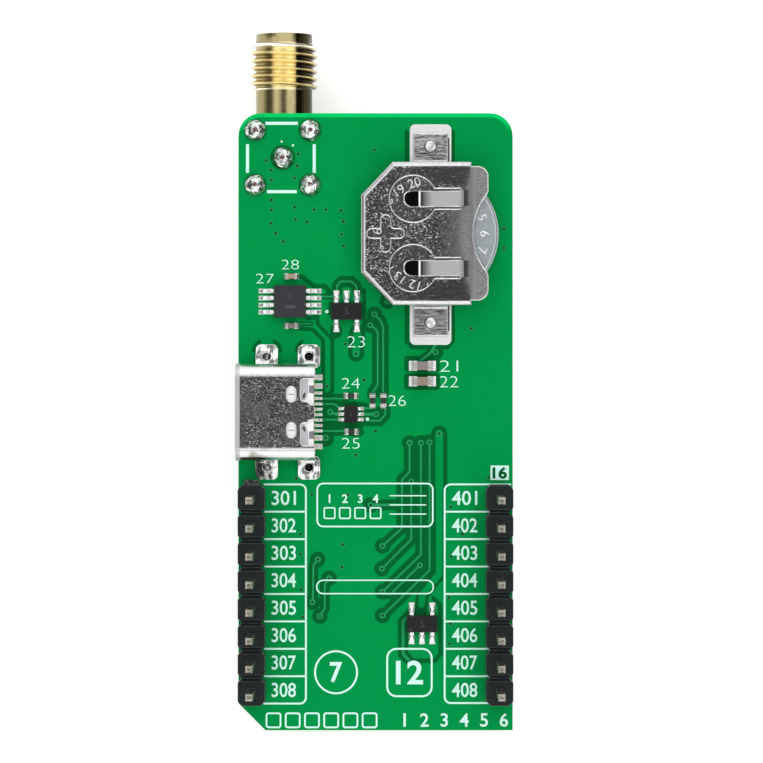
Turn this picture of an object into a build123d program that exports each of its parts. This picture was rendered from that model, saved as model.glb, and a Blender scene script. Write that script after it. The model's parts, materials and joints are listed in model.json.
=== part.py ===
from build123d import *
import math
import os

# A satellite-positioning add-on board with an antenna jack, a USB-C socket, a clipped-in back-up cell and
# two pin headers. All of it is modelled on a flat board: X runs across, Y towards the antenna jack, and the
# pin side is at Z = 0 and faces up. At the end every piece is tipped to how the module lies on a table.

# Circuit board
board_width = 25.4
board_length = 57.15
board_thickness = 1.6
board_corner_radius = 2.1
board_key_chamfer = 2.5
pad_thickness = 0.05
hole_play = 0.1
hole_ring = 0.3

# Pin headers
pins_per_row = 8
pin_pitch = 2.54
row_margin = 1.27
last_pin_margin = 3.735
pin_size = 0.64
pin_reach = 6.0
pin_tail = 1.4
pin_tip_chamfer = 0.15
housing_width = 2.5
housing_height = 2.54
housing_corner_cut = 0.42
housing_groove = 0.3
break_nub_width = 1.45
break_nub_length = 0.45
break_nub_height = 1.6
header_solder_height = 1.0
header_solder_skin = 0.025

# Antenna jack
jack_side_margin = 4.1
jack_setback = 0.94
jack_block_size = 6.35
jack_block_height = 6.8
jack_block_corner = 0.3
jack_axis_depth = 3.6
jack_leg_spacing = 5.08
jack_leg_size = 1.0
jack_leg_reach = 0.45
jack_dome_height = 0.9
jack_dome_shoulder = (0.72, 0.62)
jack_shank_diameter = 5.3
jack_shank_length = 3.4
jack_thread_diameter = 6.35
jack_thread_length = 4.4
jack_thread_chamfer = 0.4
jack_collar_length = 0.87
jack_seat_depth = 1.0
jack_mouth_diameter = 4.6
jack_mouth_depth = 1.95
jack_insulator_diameter = 4.1
jack_insulator_end_gap = 1.2
jack_contact_diameter = 1.27
jack_contact_setback = 0.4
jack_contact_bore = 0.94
jack_contact_bore_depth = 2.5
jack_centre_pin_diameter = 1.0
jack_pin_insulator_diameter = 3.0
jack_cap_diameter = 4.2
jack_cap_thickness = 0.75
jack_cap_recess = 0.1
jack_cap_ledge = 0.4

# Back-up cell, its contact pad and its clip
cell_side_margin = 7.6
cell_y = 17.33
cell_diameter = 12.5
cell_thickness = 2.0
cell_rim_radius = 0.35
cell_cap_diameter = 10.4
cell_crimp_rise = 0.1
cell_seal_width = 0.45
cell_seal_recess = 0.2
cell_pad_diameter = 9.0
cell_pad_thickness = 0.1
clip_sheet = 0.25
clip_bend = 0.25
clip_side_play = 0.15
clip_headroom = 0.55
clip_board_gap = 0.3
clip_back_width = 7.14
clip_corner_run = 2.94
clip_wall_end = 3.68
clip_relief = 0.5
clip_ear_reach = 5.26
clip_ear_width = 12.34
clip_ear_corner = 1.0
clip_ear_rise_angle = 22.0
clip_ear_bend_radius = 1.6
clip_mouth_radius = 5.66
clip_mouth_depth = 1.37
clip_window_radius = 2.13
clip_window_spacing = 6.36
clip_window_offset = -1.64
finger_width = 1.5
finger_slit = 0.17
finger_root = 3.1
finger_slit_end = 3.45
finger_contact = -1.05
finger_tip = -2.57
finger_curl_angle = 35.0
finger_bend_radius = 0.8
plus_offset = -4.17
plus_span = 3.34
plus_arm = 0.8
plus_fillet = 0.4
foot_width = 3.15
foot_reach = 2.72
foot_hole_diameter = 1.2
foot_hole_reach = 1.5
foot_pad_width = 3.85
foot_pad_reach = 3.55
foot_pad_overlap = 0.6
foot_pad_corner = 0.5
foot_solder_rise = 0.3
foot_solder_round = 0.26

# USB-C socket, at the left edge of the board
usb_y = 0.907
usb_overhang = 0.2
usb_length = 7.32
usb_width = 8.94
usb_height = 3.26
usb_corner_radius = 1.25
usb_sheet = 0.3
usb_latch_setback = 5.18
usb_latch_spacing = 3.3
usb_latch_length = 1.41
usb_latch_width = 0.88
usb_notch_length = 1.32
usb_notch_outer = 3.1
usb_notch_inner = 0.97
usb_notch_corner = 0.35
usb_bridge_taper = 0.3
usb_bottom_notch_length = 1.0
usb_bottom_notch_width = 7.2
usb_core_setback = 4.5
usb_core_rear_gap = 0.1
usb_core_play = 0.02
usb_tongue_setback = 0.6
usb_tongue_width = 6.69
usb_tongue_thickness = 0.7
usb_leg_length = 1.1
usb_leg_reach = 1.2
usb_leg_setbacks = (2.84, 6.74)
usb_slot_length = 1.6
usb_slot_width = 1.3
usb_slot_corner = 0.25
usb_leg_pad_length = 2.05
usb_leg_pad_reach = 1.78
usb_leg_pad_corner = 0.5
usb_leg_solder_height = 0.9
usb_solder_hollow = 0.45
usb_solder_dimple = 0.42
usb_dimple_at = (0.4, 0.6)
usb_lead_thickness = 0.15
usb_lead_reach = 0.67
usb_lead_riser_setback = 0.3
usb_wide_lead = 0.5
usb_narrow_lead = 0.26
usb_wide_leads = (2.4, 3.2)
usb_narrow_leads = (0.25, 0.75, 1.25, 1.75)
usb_strip_setback = 0.3

# Chips with gull-wing leads: an eight-lead power chip and two five-lead regulators
chip_draft = 6.0
lead_embed = 0.2
lead_bend_radius = 0.12
power_chip_at = (-7.92, 11.13)
power_chip_body = (3.0, 3.0, 0.86)
power_chip_standoff = 0.1
power_chip_span = 4.9
power_chip_pitch = 0.65
power_chip_lead = (0.32, 0.16, 0.55)
power_chip_pad = (1.3, 0.42, 5.8)
regulator_at = (-2.68, 10.23)
lower_regulator_at = (4.3, -18.67)
regulator_body = (1.6, 2.85, 1.1)
regulator_standoff = 0.08
regulator_span = 2.8
regulator_pitch = 0.95
regulator_lead = (0.38, 0.15, 0.4)
regulator_pad = (0.85, 0.54, 3.84)

# Six-lead surge guard beside the USB socket, with flat leads
surge_guard_at = (-2.27, 0.71)
surge_guard_body = (1.2, 1.6, 0.55)
surge_guard_span = 1.6
surge_guard_pitch = 0.5
surge_guard_lead = (0.24, 0.12)
surge_guard_pad = (0.7, 0.3, 2.4)

# Chip resistors and capacitors: places are X, Y and the turn of the part's long axis from X
small_chip = (1.0, 0.5, 0.35)
small_capacitor_height = 0.5
large_chip = (1.6, 0.85, 0.8)
plating_thickness = 0.03
small_chip_band = 0.22
small_capacitor_band = 0.16
large_chip_band = 0.32
small_chip_pad = (0.42, 0.56, 1.36)
large_chip_pad = (0.75, 0.92, 2.5)
resistor_places = ((-2.27, 2.39, 0), (-2.24, -0.93, 0), (-0.28, 1.95, 90), (0.73, 1.95, 90))
small_capacitor_places = ((-7.79, 13.45, 0), (-7.78, 8.89, 0))
large_capacitor_places = ((4.34, 5.18, 0), (4.34, 3.75, 0))

# Receiver module on the far side, a small board under a shield can. X counts the other way on that side.
receiver_at = (-1.5, 6.0)
receiver_width = 12.2
receiver_length = 16.0
receiver_board_thickness = 0.8
receiver_can_height = 1.6
receiver_can_inset = 0.5
receiver_can_sheet = 0.2
receiver_can_corner = 0.3
receiver_pad_pitch = 1.1
receiver_pads_near = 5
receiver_pads_far = 7
receiver_pad_gap = 3.0
receiver_pad_width = 0.7
receiver_pad_reach = 0.9
receiver_joint_height = 0.5
receiver_joint_foot = 0.45

# Small parts on the far side
far_resistor_places = (
    (6.5, -9.0, 90), (4.0, -9.0, 90), (1.5, -9.0, 90), (-1.0, -9.0, 90), (-3.5, -9.0, 90),
    (1.5, 18.2, 0), (-4.5, 18.2, 0), (5.2, -14.5, 0),
)
far_capacitor_places = (
    (-9.6, 9.5, 90), (-9.6, 6.5, 90), (-9.6, 3.5, 90), (6.8, 12.5, 90), (0.0, -4.5, 0), (3.0, -4.5, 0),
)
lamp_places = ((1.5, 20.2, 0), (-4.5, 20.2, 0))
lamp_base = (1.6, 0.8, 0.35)
lamp_lens = (1.0, 0.74, 0.4)
lamp_band = 0.3

# Places and levels that follow from those sizes
pin_side = Plane.XY
far_side = Plane(origin=(0, 0, -board_thickness), x_dir=(-1, 0, 0), z_dir=(0, 0, -1))
row_x = board_width / 2 - row_margin
last_pin_y = last_pin_margin - board_length / 2
header_middle_y = last_pin_y + (pins_per_row - 1) * pin_pitch / 2
header_top_y = header_middle_y + pins_per_row * pin_pitch / 2
pin_half_diagonal = pin_size * math.sqrt(2) / 2
pin_hole_radius = pin_half_diagonal + hole_play / 2
jack_x = jack_side_margin - board_width / 2
jack_y = board_length / 2 - jack_setback - jack_block_size / 2
jack_front_y = jack_y + jack_block_size / 2
jack_axis_z = -(board_thickness + jack_axis_depth)
jack_far_z = -(board_thickness + jack_block_height)
jack_leg_hole_radius = jack_leg_size * math.sqrt(2) / 2 + hole_play / 2
jack_pin_hole_radius = jack_centre_pin_diameter / 2 + hole_play / 2
jack_dome_radius = jack_leg_hole_radius + hole_ring
jack_thread_start = jack_front_y + jack_shank_length
jack_thread_end = jack_thread_start + jack_thread_length
jack_mouth_y = jack_thread_end + jack_collar_length
cell_x = board_width / 2 - cell_side_margin
cell_radius = cell_diameter / 2
cell_top = cell_pad_thickness + cell_thickness
clip_under = cell_top + clip_headroom
clip_top = clip_under + clip_sheet
clip_middle = clip_under + clip_sheet / 2
clip_outer_bend = clip_bend + clip_sheet
clip_half_width = cell_radius + clip_side_play + clip_sheet
clip_back = -(cell_radius + clip_sheet)
usb_front_x = -(board_width / 2 + usb_overhang)
usb_rear_x = usb_front_x + usb_length
usb_side = usb_width / 2
usb_slot_middle = usb_side - usb_sheet + usb_slot_length / 2 - hole_play
usb_riser_x = usb_rear_x - usb_lead_riser_setback
usb_leg_xs = [usb_front_x + setback for setback in usb_leg_setbacks]


def spot(side, x, y, turn=0.0, height=0.0):
    """The plane at one place on a side of the board, turned about the normal of that side."""
    return Plane(side.location * Location((x, y, height), (0, 0, turn)))


def upright(base, offset, hand):
    """The upright plane across a chip's side: its X points away from the chip and its Y off the board."""
    return Plane(
        origin=base.from_local_coords((0, offset, 0)), x_dir=base.x_dir * hand, z_dir=base.y_dir * -hand
    )


def row_offsets(count, pitch):
    """Places of a row of copies, evenly spaced about zero."""
    return [(index - (count - 1) / 2) * pitch for index in range(count)]


# Circuit board: an outline with two rounded corners and one clipped corner, and every plated hole
pin_places = [(x, header_middle_y + y)
              for x in (-row_x, row_x) for y in row_offsets(pins_per_row, pin_pitch)]
jack_leg_places = [(jack_x + x, jack_y + y) for x in row_offsets(2, jack_leg_spacing)
                   for y in row_offsets(2, jack_leg_spacing)]
usb_slot_places = [(x, usb_y + hand * usb_slot_middle) for x in usb_leg_xs for hand in (-1, 1)]

with BuildPart() as circuit_board:
    with BuildSketch(Plane.XY.offset(-board_thickness)) as outline:
        Rectangle(board_width, board_length)
        fillet(outline.vertices().group_by(Axis.Y)[-1], board_corner_radius)
        chamfer(outline.vertices().group_by(Axis.Y)[0].sort_by(Axis.X)[0], board_key_chamfer)
    extrude(amount=board_thickness)
    with BuildSketch(Plane.XY.offset(-board_thickness)):
        with Locations(*pin_places):
            Circle(pin_hole_radius)
        with Locations(*jack_leg_places):
            Circle(jack_leg_hole_radius)
        with Locations((jack_x, jack_y)):
            Circle(jack_pin_hole_radius)
        with Locations(*usb_slot_places):
            RectangleRounded(usb_slot_width, usb_slot_length, usb_slot_corner)
    extrude(amount=board_thickness, mode=Mode.SUBTRACT)


# Pin headers: eight moulded segments a side, with square pins pressed through them
def pin_row(x):
    """The eight square pins of one header, with pointed tips."""
    with BuildPart() as pins:
        with BuildSketch(Plane.XY.offset(-(board_thickness + pin_tail))):
            with Locations((x, header_middle_y)):
                with GridLocations(0, pin_pitch, 1, pins_per_row):
                    Rectangle(pin_size, pin_size)
        extrude(amount=pin_tail + board_thickness + housing_height + pin_reach)
        ends = pins.faces().group_by(Axis.Z)
        chamfer(ends[0].edges() + ends[-1].edges(), pin_tip_chamfer)
    return pins


def pin_housing(x, pins, broken_end):
    """The moulded strip of one header: clipped segments, grooves between them, and a snapped-off stub."""
    corner_cut = housing_corner_cut * math.sqrt(2)
    groove = housing_groove * math.sqrt(2)
    with BuildPart() as housing:
        with BuildSketch():
            with Locations((x, header_middle_y)):
                Rectangle(housing_width, pins_per_row * pin_pitch)
                with GridLocations(housing_width, pin_pitch, 2, pins_per_row + 1):
                    Rectangle(corner_cut, corner_cut, rotation=45, mode=Mode.SUBTRACT)
        extrude(amount=housing_height)
        with BuildSketch(Plane.YZ.offset(x)):
            with Locations((header_middle_y, housing_height)):
                with GridLocations(pin_pitch, 0, pins_per_row - 1, 1):
                    Rectangle(groove, groove, rotation=45)
        extrude(amount=housing_width, both=True, mode=Mode.SUBTRACT)
        if broken_end:
            with BuildSketch(Plane.XZ.offset(-header_top_y)):
                with Locations((x, housing_height / 2)):
                    Rectangle(break_nub_width, break_nub_height)
            extrude(amount=-break_nub_length)
        add(pins.part, mode=Mode.SUBTRACT)
    return housing


left_header_pins = pin_row(-row_x)
right_header_pins = pin_row(row_x)
left_header_housing = pin_housing(-row_x, left_header_pins, broken_end=True)
right_header_housing = pin_housing(row_x, right_header_pins, broken_end=False)

# Header solder: a hollow-sided cone round each pin on the far side, and the solder that fills its hole
with BuildPart() as solder_cone:
    with BuildSketch(Plane.XZ):
        with BuildLine():
            cone_foot = (pin_hole_radius + hole_ring, -board_thickness)
            cone_end = (pin_half_diagonal + header_solder_skin, -(board_thickness + header_solder_height))
            cone_middle = ((cone_foot[0] + 2 * cone_end[0]) / 3, (2 * cone_foot[1] + cone_end[1]) / 3)
            Polyline((0, 0), (pin_hole_radius, 0), (pin_hole_radius, -board_thickness), cone_foot)
            ThreePointArc(cone_foot, cone_middle, cone_end)
            Polyline(cone_end, (0, cone_end[1]), (0, 0))
        make_face()
    revolve(axis=Axis.Z)

with BuildPart() as header_solder:
    with Locations(*[(x, y, 0) for x, y in pin_places]):
        add(solder_cone.part)
    add(left_header_pins.part, mode=Mode.SUBTRACT)
    add(right_header_pins.part, mode=Mode.SUBTRACT)

# Antenna jack: a cast block with four legs, and a turned barrel pressed into its front
jack_front = Plane(origin=(jack_x, jack_front_y, jack_axis_z), x_dir=(1, 0, 0), z_dir=(0, 1, 0))
jack_axis = Axis(origin=(jack_x, jack_y, jack_axis_z), direction=(0, 1, 0))
jack_section = Plane(origin=(jack_x, 0, jack_axis_z), x_dir=(1, 0, 0), z_dir=(0, 0, 1))
jack_cavity_end = jack_block_size / 2 + jack_insulator_diameter / 2

with BuildPart() as antenna_jack_block:
    with BuildSketch(Plane.XY.offset(-board_thickness)):
        with Locations((jack_x, jack_y)):
            RectangleRounded(jack_block_size, jack_block_size, jack_block_corner)
    extrude(amount=-jack_block_height)
    with BuildSketch(Plane.XY.offset(-board_thickness)):
        with Locations(*jack_leg_places):
            Rectangle(jack_leg_size, jack_leg_size)
    extrude(amount=board_thickness + jack_leg_reach)
    with BuildSketch(jack_front):
        Circle(jack_shank_diameter / 2)
    extrude(amount=-jack_seat_depth, mode=Mode.SUBTRACT)
    with BuildSketch(jack_front):
        Circle(jack_insulator_diameter / 2)
    extrude(amount=-jack_cavity_end, mode=Mode.SUBTRACT)
    with BuildSketch(Plane.XY.offset(-board_thickness)):
        with Locations((jack_x, jack_y)):
            Circle(jack_pin_insulator_diameter / 2)
    extrude(amount=-jack_axis_depth, mode=Mode.SUBTRACT)
    with BuildSketch(Plane.XY.offset(jack_far_z)):
        with Locations((jack_x, jack_y)):
            Circle(jack_cap_diameter / 2)
    extrude(amount=jack_cap_recess + jack_cap_thickness, mode=Mode.SUBTRACT)
    with BuildSketch(Plane.XY.offset(jack_far_z)):
        with Locations((jack_x, jack_y)):
            Circle(jack_cap_diameter / 2 - jack_cap_ledge)
    extrude(amount=jack_block_height - jack_axis_depth, mode=Mode.SUBTRACT)

with BuildPart() as antenna_jack_barrel:
    with BuildSketch(jack_section):
        with BuildLine():
            shank, thread = jack_shank_diameter / 2, jack_thread_diameter / 2
            mouth, bore = jack_mouth_diameter / 2, jack_insulator_diameter / 2
            Polyline(
                (bore, jack_front_y - jack_seat_depth),
                (shank, jack_front_y - jack_seat_depth),
                (shank, jack_thread_start),
                (thread, jack_thread_start),
                (thread, jack_thread_end - jack_thread_chamfer),
                (thread - jack_thread_chamfer, jack_thread_end),
                (shank, jack_thread_end),
                (shank, jack_mouth_y),
                (mouth, jack_mouth_y),
                (mouth, jack_mouth_y - jack_mouth_depth),
                (bore, jack_mouth_y - jack_mouth_depth),
                close=True,
            )
        make_face()
    revolve(axis=jack_axis)

with BuildPart() as antenna_jack_contact:
    contact_end = jack_mouth_y - jack_contact_setback
    with BuildSketch(Plane(origin=(jack_x, contact_end, jack_axis_z), x_dir=(1, 0, 0), z_dir=(0, 1, 0))):
        Circle(jack_contact_diameter / 2)
    extrude(amount=-(contact_end - jack_y + jack_contact_diameter / 2))
    with BuildSketch(Plane.XY.offset(jack_axis_z)):
        with Locations((jack_x, jack_y)):
            Circle(jack_centre_pin_diameter / 2)
    extrude(amount=jack_leg_reach - jack_axis_z)
    with BuildSketch(Plane(origin=(jack_x, contact_end, jack_axis_z), x_dir=(1, 0, 0), z_dir=(0, 1, 0))):
        Circle(jack_contact_bore / 2)
    extrude(amount=-jack_contact_bore_depth, mode=Mode.SUBTRACT)

with BuildPart() as antenna_jack_insulator:
    with BuildSketch(Plane(origin=(jack_x, jack_mouth_y - jack_mouth_depth, jack_axis_z), x_dir=(1, 0, 0),
                           z_dir=(0, 1, 0))):
        Circle(jack_insulator_diameter / 2)
        Circle(jack_contact_diameter / 2, mode=Mode.SUBTRACT)
    extrude(amount=-(jack_mouth_y - jack_mouth_depth - jack_front_y + jack_insulator_end_gap))

with BuildPart() as antenna_jack_pin_insulator:
    with BuildSketch(Plane.XY.offset(-board_thickness)):
        with Locations((jack_x, jack_y)):
            Circle(jack_pin_insulator_diameter / 2)
            Circle(jack_centre_pin_diameter / 2, mode=Mode.SUBTRACT)
    extrude(amount=-(jack_axis_depth - jack_insulator_diameter / 2))

with BuildPart() as antenna_jack_cap:
    with BuildSketch(Plane.XY.offset(jack_far_z + jack_cap_recess)):
        with Locations((jack_x, jack_y)):
            Circle(jack_cap_diameter / 2)
    extrude(amount=jack_cap_thickness)
    chamfer(antenna_jack_cap.faces().sort_by(Axis.Z)[0].edges(), jack_cap_recess)


# Antenna jack solder: domes on the pin side, with the solder that fills each plated hole
def solder_dome(dome_radius, hole_radius):
    """One solder dome on the pin side, at the origin."""
    with BuildPart() as dome:
        with BuildSketch(Plane.XZ):
            with BuildLine():
                Line((dome_radius, 0), (0, 0))
                Line((0, 0), (0, jack_dome_height))
                ThreePointArc(
                    (0, jack_dome_height),
                    (dome_radius * jack_dome_shoulder[0], jack_dome_height * jack_dome_shoulder[1]),
                    (dome_radius, 0),
                )
            make_face()
        revolve(axis=Axis.Z)
        with BuildSketch():
            Circle(hole_radius)
        extrude(amount=-board_thickness)
    return dome


leg_dome = solder_dome(jack_dome_radius, jack_leg_hole_radius)
centre_dome = solder_dome(jack_dome_radius, jack_pin_hole_radius)

with BuildPart() as antenna_jack_solder:
    with Locations(*[(x, y, 0) for x, y in jack_leg_places]):
        add(leg_dome.part)
    with Locations((jack_x, jack_y, 0)):
        add(centre_dome.part)
    add(antenna_jack_block.part, mode=Mode.SUBTRACT)
    add(antenna_jack_contact.part, mode=Mode.SUBTRACT)

# Back-up cell: a sealed can with its cap down on the contact pad, and the crimped seal round the cap
with BuildPart() as cell_contact_pad:
    with BuildSketch():
        with Locations((cell_x, cell_y)):
            Circle(cell_pad_diameter / 2)
    extrude(amount=cell_pad_thickness)

with BuildPart() as coin_cell:
    with BuildSketch(Plane(origin=(cell_x, cell_y, cell_pad_thickness), x_dir=(1, 0, 0), z_dir=(0, -1, 0))):
        with BuildLine():
            cap_edge = cell_cap_diameter / 2
            crimp_end = cap_edge + cell_seal_width
            rim = cell_radius - cell_rim_radius
            lower_bend = cell_crimp_rise + cell_rim_radius
            upper_bend = cell_thickness - cell_rim_radius
            Polyline(
                (rim, cell_thickness),
                (0, cell_thickness),
                (0, 0),
                (cap_edge, 0),
                (cap_edge, cell_seal_recess),
                (crimp_end, cell_seal_recess),
                (crimp_end, cell_crimp_rise),
                (rim, cell_crimp_rise),
            )
            RadiusArc((rim, cell_crimp_rise), (cell_radius, lower_bend), -cell_rim_radius)
            Line((cell_radius, lower_bend), (cell_radius, upper_bend))
            RadiusArc((cell_radius, upper_bend), (rim, cell_thickness), -cell_rim_radius)
        make_face()
    revolve(axis=Axis(origin=(cell_x, cell_y, 0), direction=(0, 0, 1)))

# Cell clip, formed from one sheet. Its sizes along X are counted from the middle of the cell.
clip_plan = Plane(origin=(cell_x, cell_y, 0), x_dir=(1, 0, 0), z_dir=(0, 0, 1))
clip_sides = Plane(origin=(cell_x, cell_y, 0), x_dir=(1, 0, 0), z_dir=(0, -1, 0))
clip_ends = Plane(origin=(cell_x, cell_y, 0), x_dir=(0, 1, 0), z_dir=(1, 0, 0))
clip_trim = clip_wall_end + 2 * clip_outer_bend
clip_window_y = clip_window_spacing / 2

# The plate and its walls: a box with three closed sides, folded at the rim and cut off square at the mouth
with BuildPart() as clip_cover:
    with BuildSketch(clip_plan.offset(clip_board_gap)):
        with BuildLine():
            Polyline(
                (clip_trim, -clip_half_width),
                (clip_back + clip_corner_run, -clip_half_width),
                (clip_back, -clip_back_width / 2),
                (clip_back, clip_back_width / 2),
                (clip_back + clip_corner_run, clip_half_width),
                (clip_trim, clip_half_width),
                close=True,
            )
        make_face()
    extrude(amount=clip_top - clip_board_gap)
    fillet(clip_cover.faces().sort_by(Axis.Z)[-1].edges().sort_by(Axis.X)[:-1], clip_outer_bend)
    offset(
        amount=-clip_sheet,
        openings=[clip_cover.faces().sort_by(Axis.Z)[0], clip_cover.faces().sort_by(Axis.X)[-1]],
    )
    split(bisect_by=clip_ends.offset(clip_wall_end), keep=Keep.BOTTOM)

# The flared lip over the cell's mouth, with two ears and a hollow between them
with BuildPart() as clip_lip:
    with BuildSketch(clip_sides):
        with BuildLine():
            lip_start = clip_wall_end - clip_ear_corner
            lip_end = clip_ear_reach + clip_ear_corner
            FilletPolyline(
                (lip_start, clip_middle),
                (clip_wall_end + clip_sheet, clip_middle),
                (lip_end, clip_middle + (lip_end - clip_wall_end - clip_sheet)
                 * math.tan(math.radians(clip_ear_rise_angle))),
                radius=clip_ear_bend_radius,
            )
        trace(line_width=clip_sheet)
    extrude(amount=clip_ear_width / 2, both=True)
    with BuildSketch(clip_plan.offset(clip_under - clip_sheet)) as lip_plan:
        with Locations(((lip_start + clip_ear_reach) / 2, 0)):
            Rectangle(clip_ear_reach - lip_start, clip_ear_width)
        with Locations((clip_ear_reach - clip_mouth_depth + clip_mouth_radius, 0)):
            Circle(clip_mouth_radius, mode=Mode.SUBTRACT)
        fillet(lip_plan.vertices().group_by(Axis.X)[-1], clip_ear_corner)
    extrude(amount=clip_ear_reach, mode=Mode.INTERSECT)

# A foot at each side wall, turned outwards along the board, with a hole that solder rises through
with BuildPart() as clip_feet:
    with BuildSketch(clip_ends):
        with BuildLine():
            wall_middle = clip_half_width - clip_sheet / 2
            foot_level = pad_thickness + clip_sheet / 2
            FilletPolyline(
                (wall_middle, clip_under - clip_outer_bend),
                (wall_middle, foot_level),
                (clip_half_width + foot_reach, foot_level),
                radius=clip_bend + clip_sheet / 2,
            )
        trace(line_width=clip_sheet)
    extrude(amount=foot_width / 2, both=True)
    with BuildSketch(clip_plan):
        with Locations((0, clip_half_width + foot_hole_reach)):
            Circle(foot_hole_diameter / 2)
    extrude(amount=clip_board_gap, mode=Mode.SUBTRACT)
    mirror(about=clip_sides)

# The two spring fingers, from their root in the plate down to the cell and up again at the tip
finger_press = cell_top + clip_sheet / 2
finger_slope = math.atan2(clip_middle - finger_press, finger_root - finger_contact)
finger_curl = math.radians(finger_curl_angle)
finger_end_middle = finger_tip + finger_width / 2
finger_vertex = finger_press + finger_bend_radius * (
    1 - math.cos((finger_curl - finger_slope) / 2) / math.cos((finger_curl + finger_slope) / 2)
)

with BuildPart() as clip_fingers:
    with BuildSketch(clip_sides):
        with BuildLine():
            FilletPolyline(
                (clip_wall_end, clip_middle),
                (finger_contact + (clip_middle - finger_vertex) / math.tan(finger_slope), clip_middle),
                (finger_contact, finger_vertex),
                (finger_tip, finger_vertex + (finger_contact - finger_tip) * math.tan(finger_curl)),
                radius=finger_bend_radius,
            )
        trace(line_width=clip_sheet)
    extrude(amount=clip_half_width - clip_outer_bend, both=True)
    with BuildSketch(clip_plan.offset(cell_top - clip_sheet)):
        with Locations((0, -clip_window_y), (0, clip_window_y)):
            with Locations(((clip_wall_end + finger_end_middle) / 2, 0)):
                Rectangle(clip_wall_end - finger_end_middle, finger_width)
            with Locations((finger_end_middle, 0)):
                Circle(finger_width / 2)
    extrude(amount=clip_top, mode=Mode.INTERSECT)

with BuildPart() as cell_clip:
    add(clip_cover.part)
    with BuildSketch(clip_plan.offset(clip_under)):
        with Locations((0, -clip_window_y), (0, clip_window_y)):
            with Locations((clip_window_offset, 0)):
                Circle(clip_window_radius)
            with Locations(((clip_window_offset + finger_slit_end) / 2, 0)):
                Rectangle(finger_slit_end - clip_window_offset, finger_width + 2 * finger_slit)
    extrude(amount=clip_sheet, mode=Mode.SUBTRACT)
    with BuildSketch(clip_plan.offset(clip_under)) as plus:
        with Locations((plus_offset, 0)):
            SlotOverall(plus_span, plus_arm)
            SlotOverall(plus_span, plus_arm, rotation=90)
        inner_corners = plus.vertices().sort_by_distance((cell_x + plus_offset, cell_y, clip_under))[:4]
        fillet(inner_corners, plus_fillet)
    extrude(amount=clip_sheet, mode=Mode.SUBTRACT)
    relief_corners = [(clip_back + x, hand * y) for hand in (-1, 1)
                      for x, y in ((0, clip_back_width / 2), (clip_corner_run, clip_half_width))]
    with BuildSketch(clip_plan.offset(clip_board_gap)):
        with Locations(*relief_corners):
            Circle(clip_relief)
    extrude(amount=clip_under - clip_outer_bend - clip_board_gap, mode=Mode.SUBTRACT)
    add(clip_lip.part)
    add(clip_feet.part)
    add(clip_fingers.part)

# Clip solder: a wide bright pad under each foot, with solder that has risen through the foot's hole
with BuildPart() as clip_solder:
    pad_start = clip_half_width - foot_pad_overlap
    pad_end = clip_half_width + foot_pad_reach
    with BuildSketch(clip_plan):
        with Locations(*[(0, hand * (pad_start + pad_end) / 2) for hand in (-1, 1)]):
            RectangleRounded(foot_pad_width, pad_end - pad_start, foot_pad_corner)
    extrude(amount=pad_thickness)
    with BuildSketch(clip_plan.offset(pad_thickness)):
        with Locations(*[(0, hand * (clip_half_width + foot_hole_reach)) for hand in (-1, 1)]):
            Circle(foot_hole_diameter / 2)
    extrude(amount=clip_sheet + foot_solder_rise)
    fillet(clip_solder.faces().group_by(Axis.Z)[-1].edges(), foot_solder_round)

# USB-C socket: a drawn shell with latch windows and rear notches, and four legs through the board
usb_mouth = Plane(origin=(usb_front_x, usb_y, usb_height / 2), x_dir=(0, 1, 0), z_dir=(1, 0, 0))
usb_top = Plane(origin=(usb_rear_x, usb_y, usb_height), x_dir=(1, 0, 0), z_dir=(0, 0, 1))
usb_base = Plane(origin=(usb_rear_x, usb_y, 0), x_dir=(1, 0, 0), z_dir=(0, 0, 1))

with BuildPart() as usb_outside:
    with BuildSketch(usb_mouth):
        RectangleRounded(usb_width, usb_height, usb_corner_radius)
    extrude(amount=usb_length)

usb_leg_places = [(x, usb_y + hand * (usb_side - usb_sheet / 2)) for x in usb_leg_xs for hand in (-1, 1)]

with BuildPart() as usb_legs:
    with BuildSketch(Plane.XY.offset(usb_height / 2)):
        with Locations(*usb_leg_places):
            Rectangle(usb_leg_length, usb_sheet)
    extrude(amount=-(usb_height / 2 + usb_leg_reach))

with BuildPart() as usb_shell:
    add(usb_outside.part)
    with BuildSketch(usb_mouth):
        RectangleRounded(
            usb_width - 2 * usb_sheet, usb_height - 2 * usb_sheet, usb_corner_radius - usb_sheet
        )
    extrude(amount=usb_length, mode=Mode.SUBTRACT)
    with BuildSketch(usb_top):
        with Locations((usb_latch_setback - usb_length, 0)):
            with GridLocations(0, usb_latch_spacing, 1, 2):
                SlotOverall(usb_latch_length, usb_latch_width, rotation=90)
    extrude(amount=-usb_sheet, mode=Mode.SUBTRACT)
    with BuildSketch(usb_top) as rear_notches:
        with BuildLine():
            Polyline(
                (usb_sheet, usb_notch_outer),
                (-usb_notch_length, usb_notch_outer),
                (-usb_notch_length, usb_notch_inner),
                (-usb_notch_length + 2 * usb_bridge_taper, usb_notch_inner),
                (-usb_notch_length + 3 * usb_bridge_taper, usb_notch_inner - usb_bridge_taper),
                (usb_sheet, usb_notch_inner - usb_bridge_taper),
                close=True,
            )
        make_face()
        fillet(rear_notches.vertices().group_by(Axis.X)[0], usb_notch_corner)
        mirror(about=Plane.XZ)
    extrude(amount=-usb_sheet, mode=Mode.SUBTRACT)
    with BuildSketch(usb_base):
        with Locations((-usb_bottom_notch_length / 2, 0)):
            Rectangle(usb_bottom_notch_length, usb_bottom_notch_width)
    extrude(amount=usb_sheet, mode=Mode.SUBTRACT)
    add(usb_legs.part)

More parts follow.
